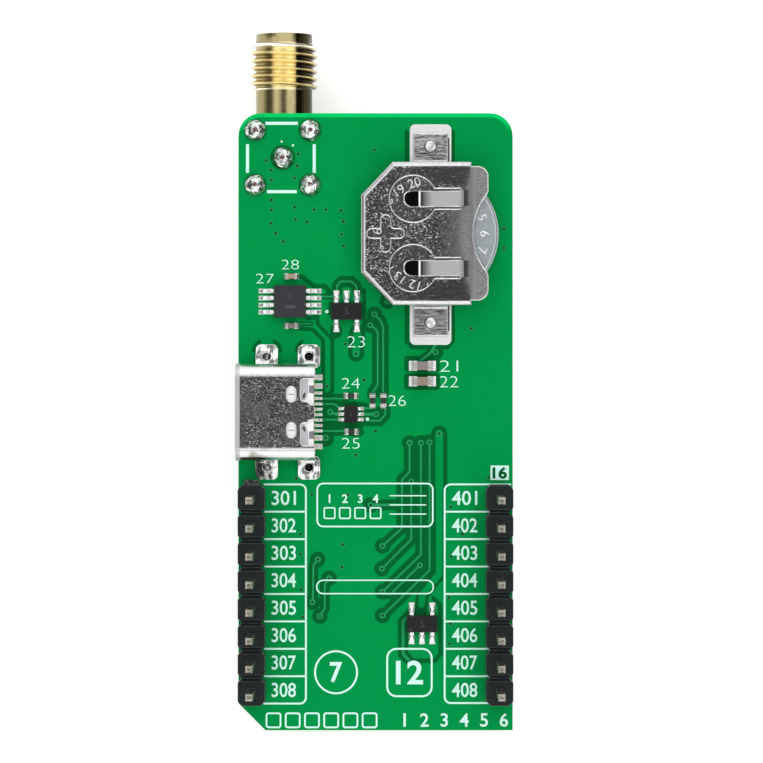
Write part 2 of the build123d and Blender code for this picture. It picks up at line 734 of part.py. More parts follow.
# USB contacts: each is a foot on the board, a riser inside the core and a strip along the tongue
usb_strip_end = usb_front_x + usb_tongue_setback + usb_strip_setback
usb_tongue_top = (usb_height + usb_tongue_thickness) / 2
usb_tongue_bottom = (usb_height - usb_tongue_thickness) / 2


def usb_contact(offset, width, top, bottom):
    """One contact of the socket, with its strip on the top or the bottom of the tongue, or on both."""
    levels = [usb_tongue_top - usb_lead_thickness] * top + [usb_tongue_bottom] * bottom
    highest = max(levels) + usb_lead_thickness
    with BuildPart() as contact:
        with BuildSketch(Plane(origin=(0, usb_y + offset, 0), x_dir=(1, 0, 0), z_dir=(0, -1, 0))):
            corner = (Align.MIN, Align.MIN)
            with Locations((usb_riser_x, pad_thickness)):
                Rectangle(usb_rear_x + usb_lead_reach - usb_riser_x, usb_lead_thickness, align=corner)
                Rectangle(usb_lead_thickness, highest - pad_thickness, align=corner)
            for level in levels:
                with Locations((usb_strip_end, level)):
                    Rectangle(usb_riser_x - usb_strip_end, usb_lead_thickness, align=corner)
        extrude(amount=width / 2, both=True)
    return contact


with BuildPart() as usb_contacts:
    for hand in (-1, 1):
        for offset in usb_wide_leads:
            add(usb_contact(hand * offset, usb_wide_lead, True, True).part)
        for index, offset in enumerate(usb_narrow_leads):
            on_top = (index % 2 == 0) == (hand > 0)
            add(usb_contact(hand * offset, usb_narrow_lead, on_top, not on_top).part)

# USB core: the moulding that fills the rear of the shell, with the tongue that carries the contacts
with BuildPart() as usb_insulator:
    with BuildSketch(usb_mouth.offset(usb_core_setback)):
        inset = usb_sheet + usb_core_play
        RectangleRounded(usb_width - 2 * inset, usb_height - 2 * inset, usb_corner_radius - inset)
    extrude(amount=usb_length - usb_core_setback - usb_core_rear_gap)
    with BuildSketch(usb_mouth.offset(usb_tongue_setback)):
        Rectangle(usb_tongue_width, usb_tongue_thickness)
    extrude(amount=usb_core_setback - usb_tongue_setback)
    add(usb_contacts.part, mode=Mode.SUBTRACT)

# USB leg solder: a wedge outside each leg that climbs the shell, with a dimple, and the fill of its slot
slot_start = usb_slot_middle - usb_slot_length / 2
reach = usb_side + usb_leg_pad_reach
hollow_y = usb_side + usb_leg_pad_reach * usb_solder_hollow
hollow_z = usb_leg_solder_height * usb_solder_hollow
dimple_y = usb_side + usb_leg_pad_reach * usb_dimple_at[0]
dimple_z = usb_leg_solder_height * usb_dimple_at[1]

with BuildPart() as usb_shell_solder:
    for x in usb_leg_xs:
        for hand in (-1, 1):
            with BuildSketch(Plane(origin=(x, usb_y, 0), x_dir=(0, hand, 0), z_dir=(hand, 0, 0))):
                with BuildLine():
                    Polyline(
                        (usb_side, usb_leg_solder_height),
                        (slot_start, usb_leg_solder_height),
                        (slot_start, 0),
                        (reach, 0),
                        (reach, pad_thickness),
                    )
                    ThreePointArc(
                        (reach, pad_thickness), (hollow_y, hollow_z), (usb_side, usb_leg_solder_height)
                    )
                make_face()
            extrude(amount=usb_leg_pad_length / 2, both=True)
    with BuildSketch():
        with Locations(*[(x, usb_y + hand * (slot_start + reach) / 2)
                         for x in usb_leg_xs for hand in (-1, 1)]):
            RectangleRounded(usb_leg_pad_length, reach - slot_start, usb_leg_pad_corner)
    extrude(amount=usb_leg_solder_height, mode=Mode.INTERSECT)
    with Locations(*[(x, usb_y + hand * dimple_y, dimple_z) for x in usb_leg_xs for hand in (-1, 1)]):
        Sphere(usb_solder_dimple, mode=Mode.SUBTRACT)
    with BuildSketch():
        with Locations(*usb_slot_places):
            RectangleRounded(usb_slot_width, usb_slot_length, usb_slot_corner)
    extrude(amount=-board_thickness)
    add(usb_outside.part, mode=Mode.SUBTRACT)
    add(usb_legs.part, mode=Mode.SUBTRACT)


# Chips: moulded bodies with leads let into their sides, on small pads
def gull_leads(base, rows, body, standoff, span, lead):
    """Gull-wing leads on the two sides of a chip that its X crosses. rows gives each side's offsets."""
    width, thickness, foot = lead
    root_level = pad_thickness + standoff + body[2] / 2
    foot_level = pad_thickness + thickness / 2
    with BuildPart() as leads:
        for hand, offsets in rows:
            for offset in offsets:
                with BuildSketch(upright(base, offset, hand)):
                    with BuildLine():
                        FilletPolyline(
                            (body[0] / 2 - lead_embed, root_level),
                            (span / 2 - foot, root_level),
                            (span / 2 - foot, foot_level),
                            (span / 2, foot_level),
                            radius=lead_bend_radius,
                        )
                    trace(line_width=thickness)
                extrude(amount=width / 2, both=True)
    return leads


def chip_body(base, body, standoff, leads):
    """A moulded chip body, drafted both ways from its parting line, with a pocket for each lead."""
    with BuildPart() as moulding:
        with BuildSketch(base.offset(pad_thickness + standoff + body[2] / 2)):
            Rectangle(body[0], body[1])
        extrude(amount=body[2] / 2, both=True, taper=chip_draft)
        add(leads.part, mode=Mode.SUBTRACT)
    return moulding


def lead_pads(base, rows, pad):
    """Thin solder pads under the leads of a chip. pad gives length, width and the span over both sides."""
    with BuildPart() as pads:
        with BuildSketch(base):
            for hand, offsets in rows:
                with Locations(*[(hand * (pad[2] - pad[0]) / 2, offset) for offset in offsets]):
                    Rectangle(pad[0], pad[1])
        extrude(amount=pad_thickness)
    return pads


power_chip_base = spot(pin_side, *power_chip_at)
power_chip_rows = [(hand, row_offsets(4, power_chip_pitch)) for hand in (-1, 1)]
power_chip_leads = gull_leads(
    power_chip_base, power_chip_rows, power_chip_body, power_chip_standoff, power_chip_span, power_chip_lead
)
power_chip_moulding = chip_body(power_chip_base, power_chip_body, power_chip_standoff, power_chip_leads)

regulator_rows = [(1, row_offsets(3, regulator_pitch)), (-1, row_offsets(2, 2 * regulator_pitch))]
regulator_base = spot(pin_side, *regulator_at, turn=90)
regulator_leads = gull_leads(
    regulator_base, regulator_rows, regulator_body, regulator_standoff, regulator_span, regulator_lead
)
regulator_moulding = chip_body(regulator_base, regulator_body, regulator_standoff, regulator_leads)

lower_regulator_base = spot(pin_side, *lower_regulator_at, turn=-90)
lower_regulator_leads = gull_leads(
    lower_regulator_base, regulator_rows, regulator_body, regulator_standoff, regulator_span, regulator_lead
)
lower_regulator_moulding = chip_body(
    lower_regulator_base, regulator_body, regulator_standoff, lower_regulator_leads
)

surge_guard_base = spot(pin_side, *surge_guard_at)
surge_guard_rows = [(hand, row_offsets(3, surge_guard_pitch)) for hand in (-1, 1)]

with BuildPart() as surge_guard_leads:
    flat_lead = (surge_guard_span - surge_guard_body[0]) / 2 + lead_embed
    with BuildSketch(surge_guard_base.offset(pad_thickness)):
        for hand, offsets in surge_guard_rows:
            with Locations(*[(hand * (surge_guard_span - flat_lead) / 2, offset) for offset in offsets]):
                Rectangle(flat_lead, surge_guard_lead[0])
    extrude(amount=surge_guard_lead[1])

surge_guard_moulding = chip_body(surge_guard_base, surge_guard_body, 0, surge_guard_leads)


# Chip resistors and capacitors: a ceramic block, with a plated cap over each end
def ceramic_blocks(side, places, size):
    """The ceramic block of each chip part, smaller than the part by its plating."""
    with BuildPart() as blocks:
        for x, y, turn in places:
            with BuildSketch(spot(side, x, y, turn, pad_thickness + plating_thickness)):
                Rectangle(size[0] - 2 * plating_thickness, size[1] - 2 * plating_thickness)
            extrude(amount=size[2] - 2 * plating_thickness)
    return blocks


def plated_ends(side, places, size, band, blocks):
    """The plated caps over both ends of each chip part."""
    with BuildPart() as ends:
        for x, y, turn in places:
            with BuildSketch(spot(side, x, y, turn, pad_thickness)):
                with Locations(*[(offset, 0) for offset in row_offsets(2, size[0] - band)]):
                    Rectangle(band, size[1])
            extrude(amount=size[2])
        add(blocks.part, mode=Mode.SUBTRACT)
    return ends


def end_pads(side, places, pad):
    """The two solder pads under each chip part."""
    with BuildPart() as pads:
        for x, y, turn in places:
            with BuildSketch(spot(side, x, y, turn)):
                with Locations(*[(offset, 0) for offset in row_offsets(2, pad[2] - pad[0])]):
                    Rectangle(pad[0], pad[1])
            extrude(amount=pad_thickness)
    return pads


small_capacitor = (small_chip[0], small_chip[1], small_capacitor_height)
resistor_bodies = ceramic_blocks(pin_side, resistor_places, small_chip)
resistor_ends = plated_ends(pin_side, resistor_places, small_chip, small_chip_band, resistor_bodies)
small_capacitor_bodies = ceramic_blocks(pin_side, small_capacitor_places, small_capacitor)
small_capacitor_ends = plated_ends(
    pin_side, small_capacitor_places, small_capacitor, small_capacitor_band, small_capacitor_bodies
)
large_capacitor_bodies = ceramic_blocks(pin_side, large_capacitor_places, large_chip)
large_capacitor_ends = plated_ends(
    pin_side, large_capacitor_places, large_chip, large_chip_band, large_capacitor_bodies
)

# Pads of the pin side, those under the USB contacts included
with BuildPart() as pin_side_pads:
    add(lead_pads(power_chip_base, power_chip_rows, power_chip_pad).part)
    add(lead_pads(regulator_base, regulator_rows, regulator_pad).part)
    add(lead_pads(lower_regulator_base, regulator_rows, regulator_pad).part)
    add(lead_pads(surge_guard_base, surge_guard_rows, surge_guard_pad).part)
    add(end_pads(pin_side, resistor_places + small_capacitor_places, small_chip_pad).part)
    add(end_pads(pin_side, large_capacitor_places, large_chip_pad).part)
    with BuildSketch(usb_base):
        for hand in (-1, 1):
            for offsets, width in ((usb_wide_leads, usb_wide_lead), (usb_narrow_leads, usb_narrow_lead)):
                with Locations(*[(usb_lead_reach / 2, hand * offset) for offset in offsets]):
                    Rectangle(usb_lead_reach, width)
    extrude(amount=pad_thickness)

# Receiver module: a thin board with half-round pads along two edges, under a folded shield can
receiver_base = spot(far_side, *receiver_at)
receiver_pad_steps = receiver_pads_near + receiver_pads_far - 2
receiver_pad_end = (receiver_pad_steps * receiver_pad_pitch + receiver_pad_gap) / 2
receiver_pad_ys = [index * receiver_pad_pitch - receiver_pad_end for index in range(receiver_pads_far)]
receiver_pad_ys += [receiver_pad_end - index * receiver_pad_pitch for index in range(receiver_pads_near)]

with BuildPart() as receiver_board:
    with BuildSketch(receiver_base.offset(pad_thickness)):
        Rectangle(receiver_width, receiver_length)
    extrude(amount=receiver_board_thickness)

with BuildPart() as receiver_can:
    with BuildSketch(receiver_base.offset(pad_thickness + receiver_board_thickness)):
        RectangleRounded(
            receiver_width - 2 * receiver_can_inset,
            receiver_length - 2 * receiver_can_inset,
            receiver_can_corner,
        )
    extrude(amount=receiver_can_height)
    with BuildSketch(receiver_base.offset(pad_thickness + receiver_board_thickness)):
        clear = receiver_can_inset + receiver_can_sheet
        Rectangle(receiver_width - 2 * clear, receiver_length - 2 * clear)
    extrude(amount=receiver_can_height - receiver_can_sheet, mode=Mode.SUBTRACT)

with BuildPart() as receiver_solder:
    with BuildSketch(receiver_base):
        with Locations(*[(hand * receiver_width / 2, y) for hand in (-1, 1) for y in receiver_pad_ys]):
            Rectangle(2 * receiver_pad_reach, receiver_pad_width)
    extrude(amount=pad_thickness)
    for hand in (-1, 1):
        for y in receiver_pad_ys:
            with BuildSketch(upright(receiver_base, y, hand)):
                with BuildLine():
                    edge = receiver_width / 2
                    Polyline(
                        (edge, pad_thickness),
                        (edge + receiver_joint_foot, pad_thickness),
                        (edge, pad_thickness + receiver_joint_height),
                        close=True,
                    )
                make_face()
            extrude(amount=receiver_pad_width / 2, both=True)

# Small parts of the far side: selection links, resistors, capacitors and two signal lamps
far_resistor_bodies = ceramic_blocks(far_side, far_resistor_places, small_chip)
far_resistor_ends = plated_ends(
    far_side, far_resistor_places, small_chip, small_chip_band, far_resistor_bodies
)
far_capacitor_bodies = ceramic_blocks(far_side, far_capacitor_places, small_capacitor)
far_capacitor_ends = plated_ends(
    far_side, far_capacitor_places, small_capacitor, small_capacitor_band, far_capacitor_bodies
)
lamp_bases = ceramic_blocks(far_side, lamp_places, lamp_base)
lamp_ends = plated_ends(far_side, lamp_places, lamp_base, lamp_band, lamp_bases)

with BuildPart() as lamp_lenses:
    for x, y, turn in lamp_places:
        with BuildSketch(spot(far_side, x, y, turn, pad_thickness + lamp_base[2] - plating_thickness)):
            Rectangle(lamp_lens[0], lamp_lens[1])
        extrude(amount=lamp_lens[2], taper=chip_draft)

with BuildPart() as far_side_pads:
    add(end_pads(far_side, far_resistor_places + far_capacitor_places, small_chip_pad).part)
    add(end_pads(far_side, lamp_places, large_chip_pad).part)

pieces = {
    "circuit_board": circuit_board,
    "left_header_housing": left_header_housing,
    "right_header_housing": right_header_housing,
    "left_header_pins": left_header_pins,
    "right_header_pins": right_header_pins,
    "header_solder": header_solder,
    "antenna_jack_block": antenna_jack_block,
    "antenna_jack_barrel": antenna_jack_barrel,
    "antenna_jack_contact": antenna_jack_contact,
    "antenna_jack_insulator": antenna_jack_insulator,
    "antenna_jack_pin_insulator": antenna_jack_pin_insulator,
    "antenna_jack_cap": antenna_jack_cap,
    "antenna_jack_solder": antenna_jack_solder,
    "cell_contact_pad": cell_contact_pad,
    "coin_cell": coin_cell,
    "cell_clip": cell_clip,
    "clip_solder": clip_solder,
    "usb_shell": usb_shell,
    "usb_insulator": usb_insulator,
    "usb_contacts": usb_contacts,
    "usb_shell_solder": usb_shell_solder,
    "power_chip_body": power_chip_moulding,
    "power_chip_leads": power_chip_leads,
    "regulator_body": regulator_moulding,
    "regulator_leads": regulator_leads,
    "lower_regulator_body": lower_regulator_moulding,
    "lower_regulator_leads": lower_regulator_leads,
    "surge_guard_body": surge_guard_moulding,
    "surge_guard_leads": surge_guard_leads,
    "resistor_bodies": resistor_bodies,
    "resistor_ends": resistor_ends,
    "small_capacitor_bodies": small_capacitor_bodies,
    "small_capacitor_ends": small_capacitor_ends,
    "large_capacitor_bodies": large_capacitor_bodies,
    "large_capacitor_ends": large_capacitor_ends,
    "pin_side_pads": pin_side_pads,
    "receiver_board": receiver_board,
    "receiver_can": receiver_can,
    "receiver_solder": receiver_solder,
    "far_resistor_bodies": far_resistor_bodies,
    "far_resistor_ends": far_resistor_ends,
    "far_capacitor_bodies": far_capacitor_bodies,
    "far_capacitor_ends": far_capacitor_ends,
    "lamp_bases": lamp_bases,
    "lamp_ends": lamp_ends,
    "lamp_lenses": lamp_lenses,
    "far_side_pads": far_side_pads,
}

# The module lies on the inner edge of the jack's block and on the tail tips of the last two pins
block_edge_y = jack_y - jack_block_size / 2
tail_edge_y = last_pin_y - (pin_size / 2 - pin_tip_chamfer)
tail_rise = jack_block_height - pin_tail
tip_angle = math.degrees(math.atan2(tail_rise, block_edge_y - tail_edge_y))
tip = Location((0, 0, 0), (tip_angle, 0, 0))
for piece in pieces.values():
    piece.part.move(tip)
lying = Compound([piece.part for piece in pieces.values()]).bounding_box()
settle = Location((-lying.center().X, -lying.center().Y, -lying.min.Z))

os.makedirs("parts", exist_ok=True)
for name, piece in pieces.items():
    piece.part.move(settle)
    piece.part.label = name
    export_step(piece.part, f"parts/{name}.step")
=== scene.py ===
import json
import math

import bpy
import numpy as np
from mathutils import Matrix, Vector


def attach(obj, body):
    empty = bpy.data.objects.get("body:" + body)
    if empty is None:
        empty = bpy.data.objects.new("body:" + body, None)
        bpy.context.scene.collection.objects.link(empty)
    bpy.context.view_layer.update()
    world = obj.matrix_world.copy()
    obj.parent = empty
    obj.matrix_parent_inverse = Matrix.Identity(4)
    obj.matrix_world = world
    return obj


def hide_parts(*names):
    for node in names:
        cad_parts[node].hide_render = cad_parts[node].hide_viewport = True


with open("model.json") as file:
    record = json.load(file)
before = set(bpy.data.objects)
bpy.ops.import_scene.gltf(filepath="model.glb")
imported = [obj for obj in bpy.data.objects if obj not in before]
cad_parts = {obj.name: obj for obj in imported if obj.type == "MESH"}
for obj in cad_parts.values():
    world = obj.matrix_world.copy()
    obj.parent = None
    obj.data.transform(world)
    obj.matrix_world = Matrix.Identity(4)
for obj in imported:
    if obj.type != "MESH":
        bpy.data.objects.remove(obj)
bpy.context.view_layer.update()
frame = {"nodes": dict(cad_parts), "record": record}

# The board's own frame, in millimetres: X across, Y towards the antenna jack, Z off the pin side, whose face is
# at Z = 0. The part lies tipped about X, so the frame is read from the antenna thread's mount.
MM = 0.001
THREAD_AT = Vector((-8.6, 33.035, -5.2))
thread = next(mount for mount in frame["record"]["mounts"] if mount["name"] == "antenna_thread")
tip = math.atan2(thread["axis"][2], thread["axis"][1])
turn = Matrix.Rotation(tip, 4, "X")
BOARD = Matrix.Translation(Vector(thread["pos_m"]) - turn @ (THREAD_AT * MM)) @ turn
BOARD_MM = BOARD @ Matrix.Scale(MM, 4)
BOARD_UP = turn @ Vector((0, 0, 1))
THICKNESS = 1.6
HALF_WIDTH = 12.7
HALF_LENGTH = 28.575

# Places that the materials need, in board millimetres
CELL_AT = (5.1, 17.33)
LIP_BEND = 3.68
SOCKET_Y = 0.907
SOCKET_FRONT = -12.9
SOCKET_SEAM = -2.64
LEG_XS = (-10.3, -6.1)
LEG_REACH = 5.13
FINGER_REACH = 3.25
FINGER_BEND = -1.05
FINGER_ROOT = 3.1
JACK_AT = (-8.6, 24.46)


# Materials are written as expressions: every function gives back the socket that carries its result.
class Shade:
    """One node material, with a vector in board millimetres to draw its patterns on."""

    def __init__(self, name):
        self.material = bpy.data.materials.new(name)
        self.material.use_nodes = True
        self.tree = self.material.node_tree
        self.tree.nodes.clear()
        self.output = self.tree.nodes.new("ShaderNodeOutputMaterial")
        place = self.add("ShaderNodeTexCoord")
        board = self.add("ShaderNodeMapping", vector_type="TEXTURE")
        board.inputs["Location"].default_value = BOARD.translation
        board.inputs["Rotation"].default_value = (tip, 0, 0)
        board.inputs["Scale"].default_value = (MM, MM, MM)
        self.link(place.outputs["Object"], board.inputs["Vector"])
        self.at = board.outputs["Vector"]
        self.parts = None

    def add(self, kind, **settings):
        node = self.tree.nodes.new(kind)
        for key, value in settings.items():
            setattr(node, key, value)
        return node

    def link(self, source, target):
        self.tree.links.new(source, target)

    def feed(self, value, target):
        """Puts a number, a colour or another node's result into a socket."""
        if isinstance(value, bpy.types.NodeSocket):
            self.link(value, target)
        elif value is not None:
            target.default_value = (*value, 1) if target.type == "RGBA" and len(value) == 3 else value

    def axis(self, name):
        """The X, Y or Z of the place in board millimetres."""
        if self.parts is None:
            self.parts = self.add("ShaderNodeSeparateXYZ")
            self.link(self.at, self.parts.inputs[0])
        return self.parts.outputs[name]

    def facing(self, name):
        """How much the surface faces along an axis of the board, from -1 to 1."""
        shape = self.add("ShaderNodeNewGeometry")
        back = self.add("ShaderNodeVectorRotate", rotation_type="X_AXIS")
        back.inputs["Angle"].default_value = -tip
        self.link(shape.outputs["Normal"], back.inputs["Vector"])
        split = self.add("ShaderNodeSeparateXYZ")
        self.link(back.outputs["Vector"], split.inputs[0])
        return split.outputs[name]

    def math(self, operation, *values, clamp=False):
        node = self.add("ShaderNodeMath", operation=operation, use_clamp=clamp)
        for value, target in zip(values, node.inputs):
            self.feed(value, target)
        return node.outputs[0]

    def span(self, value, low, high, to_low=0.0, to_high=1.0, smooth=True):
        """Maps a value from one range to another, held at the ends."""
        node = self.add("ShaderNodeMapRange", interpolation_type="SMOOTHSTEP" if smooth else "LINEAR")
        for item, target in zip((value, low, high, to_low, to_high), node.inputs):
            self.feed(item, target)
        return node.outputs[0]

    def mix(self, factor, first, second):
        node = self.add("ShaderNodeMix", data_type="RGBA")
        self.feed(factor, node.inputs[0])
        self.feed(first, node.inputs[6])
        self.feed(second, node.inputs[7])
        return node.outputs[2]

    def stretch(self, scale):
        """The place, scaled differently along each axis."""
        node = self.add("ShaderNodeMapping")
        node.inputs["Scale"].default_value = scale
        self.link(self.at, node.inputs["Vector"])
        return node.outputs["Vector"]

    def noise(self, scale, detail=2.0, rough=0.5, vector=None):
        node = self.add("ShaderNodeTexNoise")
        self.link(vector or self.at, node.inputs["Vector"])
        node.inputs["Scale"].default_value = scale
        node.inputs["Detail"].default_value = detail
        node.inputs["Roughness"].default_value = rough
        return node.outputs["Fac"]

    def cells(self, scale, output="Distance", feature="F1", vector=None):
        node = self.add("ShaderNodeTexVoronoi", feature=feature)
        self.link(vector or self.at, node.inputs["Vector"])
        node.inputs["Scale"].default_value = scale
        return node.outputs[output]

    def bump(self, height, depth, normal=None):
        """A normal that follows a height, whose 0 to 1 stands for a depth in millimetres."""
        node = self.add("ShaderNodeBump")
        node.inputs["Distance"].default_value = depth * MM
        self.feed(height, node.inputs["Height"])
        self.feed(normal, node.inputs["Normal"])
        return node.outputs[0]

    def rounded(self, radius):
        """A normal that rounds the edges over a radius in millimetres."""
        node = self.add("ShaderNodeBevel", samples=6)
        node.inputs["Radius"].default_value = radius * MM
        return node.outputs[0]

    def edges(self, radius, low=0.01, high=0.1):
        """1 along the edges, down to 0 over a radius in millimetres."""
        shape = self.add("ShaderNodeNewGeometry")
        turned = self.add("ShaderNodeVectorMath", operation="DOT_PRODUCT")
        self.link(shape.outputs["Normal"], turned.inputs[0])
        self.link(self.rounded(radius), turned.inputs[1])
        return self.span(self.math("SUBTRACT", 1.0, turned.outputs["Value"]), low, high)

    def spangle(self, scale, tilt, normal, calm=0.0, vector=None):
        """A normal that differs a little from crystal to crystal, much on a few, and not at all where calm is 1."""
        crystals = self.add("ShaderNodeTexVoronoi")
        self.link(vector or self.at, crystals.inputs["Vector"])
        crystals.inputs["Scale"].default_value = scale
        lean = self.add("ShaderNodeVectorMath", operation="SUBTRACT")
        self.link(crystals.outputs["Color"], lean.inputs[0])
        lean.inputs[1].default_value = (0.5, 0.5, 0.5)
        cube = lean
        for _ in range(2):
            product = self.add("ShaderNodeVectorMath", operation="MULTIPLY")
            self.link(cube.outputs[0], product.inputs[0])
            self.link(lean.outputs[0], product.inputs[1])
            cube = product
        scaled = self.add("ShaderNodeVectorMath", operation="SCALE")
        self.link(cube.outputs[0], scaled.inputs[0])
        self.feed(self.span(calm, 0, 1, 8 * tilt, 0), scaled.inputs["Scale"])
        total = self.add("ShaderNodeVectorMath", operation="ADD")
        self.link(scaled.outputs[0], total.inputs[0])
        self.link(normal, total.inputs[1])
        unit = self.add("ShaderNodeVectorMath", operation="NORMALIZE")
        self.link(total.outputs[0], unit.inputs[0])
        return unit.outputs[0]

    def finish(self, colour, rough, metal=0.0, normal=None, **more):
        shader = self.add("ShaderNodeBsdfPrincipled")
        self.feed(colour, shader.inputs["Base Color"])
        self.feed(rough, shader.inputs["Roughness"])
        self.feed(metal, shader.inputs["Metallic"])
        self.feed(normal, shader.inputs["Normal"])
        for key, value in more.items():
            self.feed(value, shader.inputs[key.replace("_", " ")])
        self.link(shader.outputs[0], self.output.inputs["Surface"])
        return self.material


def solder_mask():
    """Green solder mask over a copper pour, with laminate on the sawn side walls and a painted highlight along the far
    edge.
    """
    s = Shade("solder_mask")
    green = s.mix(s.noise(0.35, 3), (0.0, 0.264, 0.058), (0.0, 0.286, 0.064))
    inset_x = s.math("SUBTRACT", s.math("ABSOLUTE", s.axis("X")), HALF_WIDTH - 2.1)
    inset_y = s.math("SUBTRACT", s.math("ABSOLUTE", s.axis("Y")), HALF_LENGTH - 2.1)
    out_x = s.math("MAXIMUM", inset_x, 0.0)
    out_y = s.math("MAXIMUM", inset_y, 0.0)
    reach = s.math("SQRT", s.math("ADD", s.math("MULTIPLY", out_x, out_x), s.math("MULTIPLY", out_y, out_y)))
    # Painted highlight: paler green in a band along the far edge and round its corners, where that edge catches the
    # light.
    upper = s.math("MULTIPLY", s.span(reach, 2.1 - 0.46, 2.1 - 0.3), s.span(s.axis("Y"), 26.6, 27.9))
    green = s.mix(upper, green, (0.0, 0.57, 0.13))
    flat = s.math("ABSOLUTE", s.facing("Z"))
    weave = s.mix(s.noise(6, 4, vector=s.stretch((0.25, 0.25, 5))), (0.30, 0.33, 0.09), (0.52, 0.50, 0.20))
    colour = s.mix(s.span(flat, 0.4, 0.6), weave, green)
    rough = s.span(s.noise(3, 3), 0.3, 0.7, 0.12, 0.18)
    return s.finish(colour, rough, normal=s.bump(s.noise(1.4, 4), 0.004), Specular_IOR_Level=0.14)


def mask_over(name, low, high, rough=0.16):
    """The mask's colour where it lies on something other than the pour."""
    s = Shade(name)
    return s.finish(s.mix(s.noise(0.9, 3), low, high), rough, normal=s.bump(s.noise(2, 3), 0.003),
                    Specular_IOR_Level=0.14)


def screen_print():
    s = Shade("screen_print")
    grain = s.noise(14, 3)
    return s.finish(s.mix(grain, (0.56, 0.92, 0.79), (0.66, 0.97, 0.87)), 0.5, normal=s.bump(grain, 0.006),
                    Specular_IOR_Level=0.25)


def moulded(name, low, high, rough, grain=9.0, depth=0.012, edge=0.06, painted_edge_highlight=None, **more):
    """Moulded plastic: a fine eroded texture, faint mottling, and softened edges that may carry a painted highlight in
    a paler colour.
    """
    s = Shade(name)
    fine = s.noise(grain, 4, 0.65)
    colour = s.mix(s.noise(1.3, 3), low, high)
    # Painted highlight: a paler colour along the edges.
    if painted_edge_highlight:
        colour = s.mix(s.edges(edge), colour, painted_edge_highlight)
    return s.finish(colour, s.span(fine, 0.3, 0.7, rough - 0.05, rough + 0.08),
                    normal=s.bump(fine, depth, s.rounded(edge)), **more)


def housing_plastic():
    """The headers' black nylon, pale and rough where the strip was snapped off its length, with painted highlights
    along its edges.
    """
    s = Shade("black_housing")
    fine = s.noise(8, 4, 0.65)
    torn = s.math("MULTIPLY", s.span(s.axis("Y"), -5.80, -5.74), s.span(s.facing("Z"), -0.2, 0.2))
    black = s.mix(s.noise(1.1, 3), (0.007, 0.011, 0.012), (0.014, 0.019, 0.021))
    scratches = s.span(s.noise(2.6, 4, 0.7, vector=s.stretch((1.0, 3.5, 1.0))), 0.60, 0.66)
    black = s.mix(s.math("MULTIPLY", scratches, 0.5), black, (0.06, 0.06, 0.055))
    # Painted highlight: a paler grey along the edges.
    black = s.mix(s.math("MULTIPLY", s.edges(0.09), s.noise(3, 3)), black, (0.26, 0.27, 0.26))
    pale = s.mix(s.span(s.noise(6, 4, 0.7), 0.44, 0.62), (0.010, 0.015, 0.013), (0.17, 0.18, 0.16))
    rugged = s.math("MULTIPLY", s.math("MULTIPLY", torn, s.noise(5, 4, 0.7)), 8.0)
    return s.finish(s.mix(torn, black, pale), s.span(fine, 0.3, 0.7, 0.3, 0.42),
                    normal=s.bump(s.math("ADD", fine, rugged), 0.010, s.rounded(0.07)), Specular_IOR_Level=0.16)


def plate(name, low, high, rough=0.12, scale=8.0, tilt=0.3, edge=0.1, areas=None):
    """Tin or nickel plate on sheet: mirror-dark crystals where it lies flat, a few tilted enough to catch the light,
    and a painted highlight along its edges. areas gives stretches of another look, each a mask, a colour and a
    roughness."""
    s = Shade(name)
    colour = s.mix(s.noise(scale * 0.3, 4, 0.6), low, high)
    gloss = s.span(s.noise(scale * 0.5, 3), 0.3, 0.7, rough - 0.03, rough + 0.04)
    calm = s.span(s.math("ABSOLUTE", s.facing("Z")), 0.992, 0.9995, 1, 0)
    for area, other, satin in (areas(s) if areas else ()):
        colour = s.mix(area, colour, other)
        gloss = s.span(area, 0, 1, gloss, satin)
        calm = s.math("MAXIMUM", calm, area)
    # Painted highlight: near-white along the edges.
    colour = s.mix(s.edges(edge), colour, (0.97, 0.97, 0.96))
    crystals = s.stretch((0.7, 1.0, 1.0))
    return s.finish(colour, gloss, 1.0, normal=s.spangle(scale, tilt, s.rounded(edge), calm, crystals))


def within(s, value, low, high, soft):
    """1 where a value lies between two limits, 0 outside them."""
    return s.math("MULTIPLY", s.span(value, low, low + soft), s.span(value, high - soft, high, 1, 0))


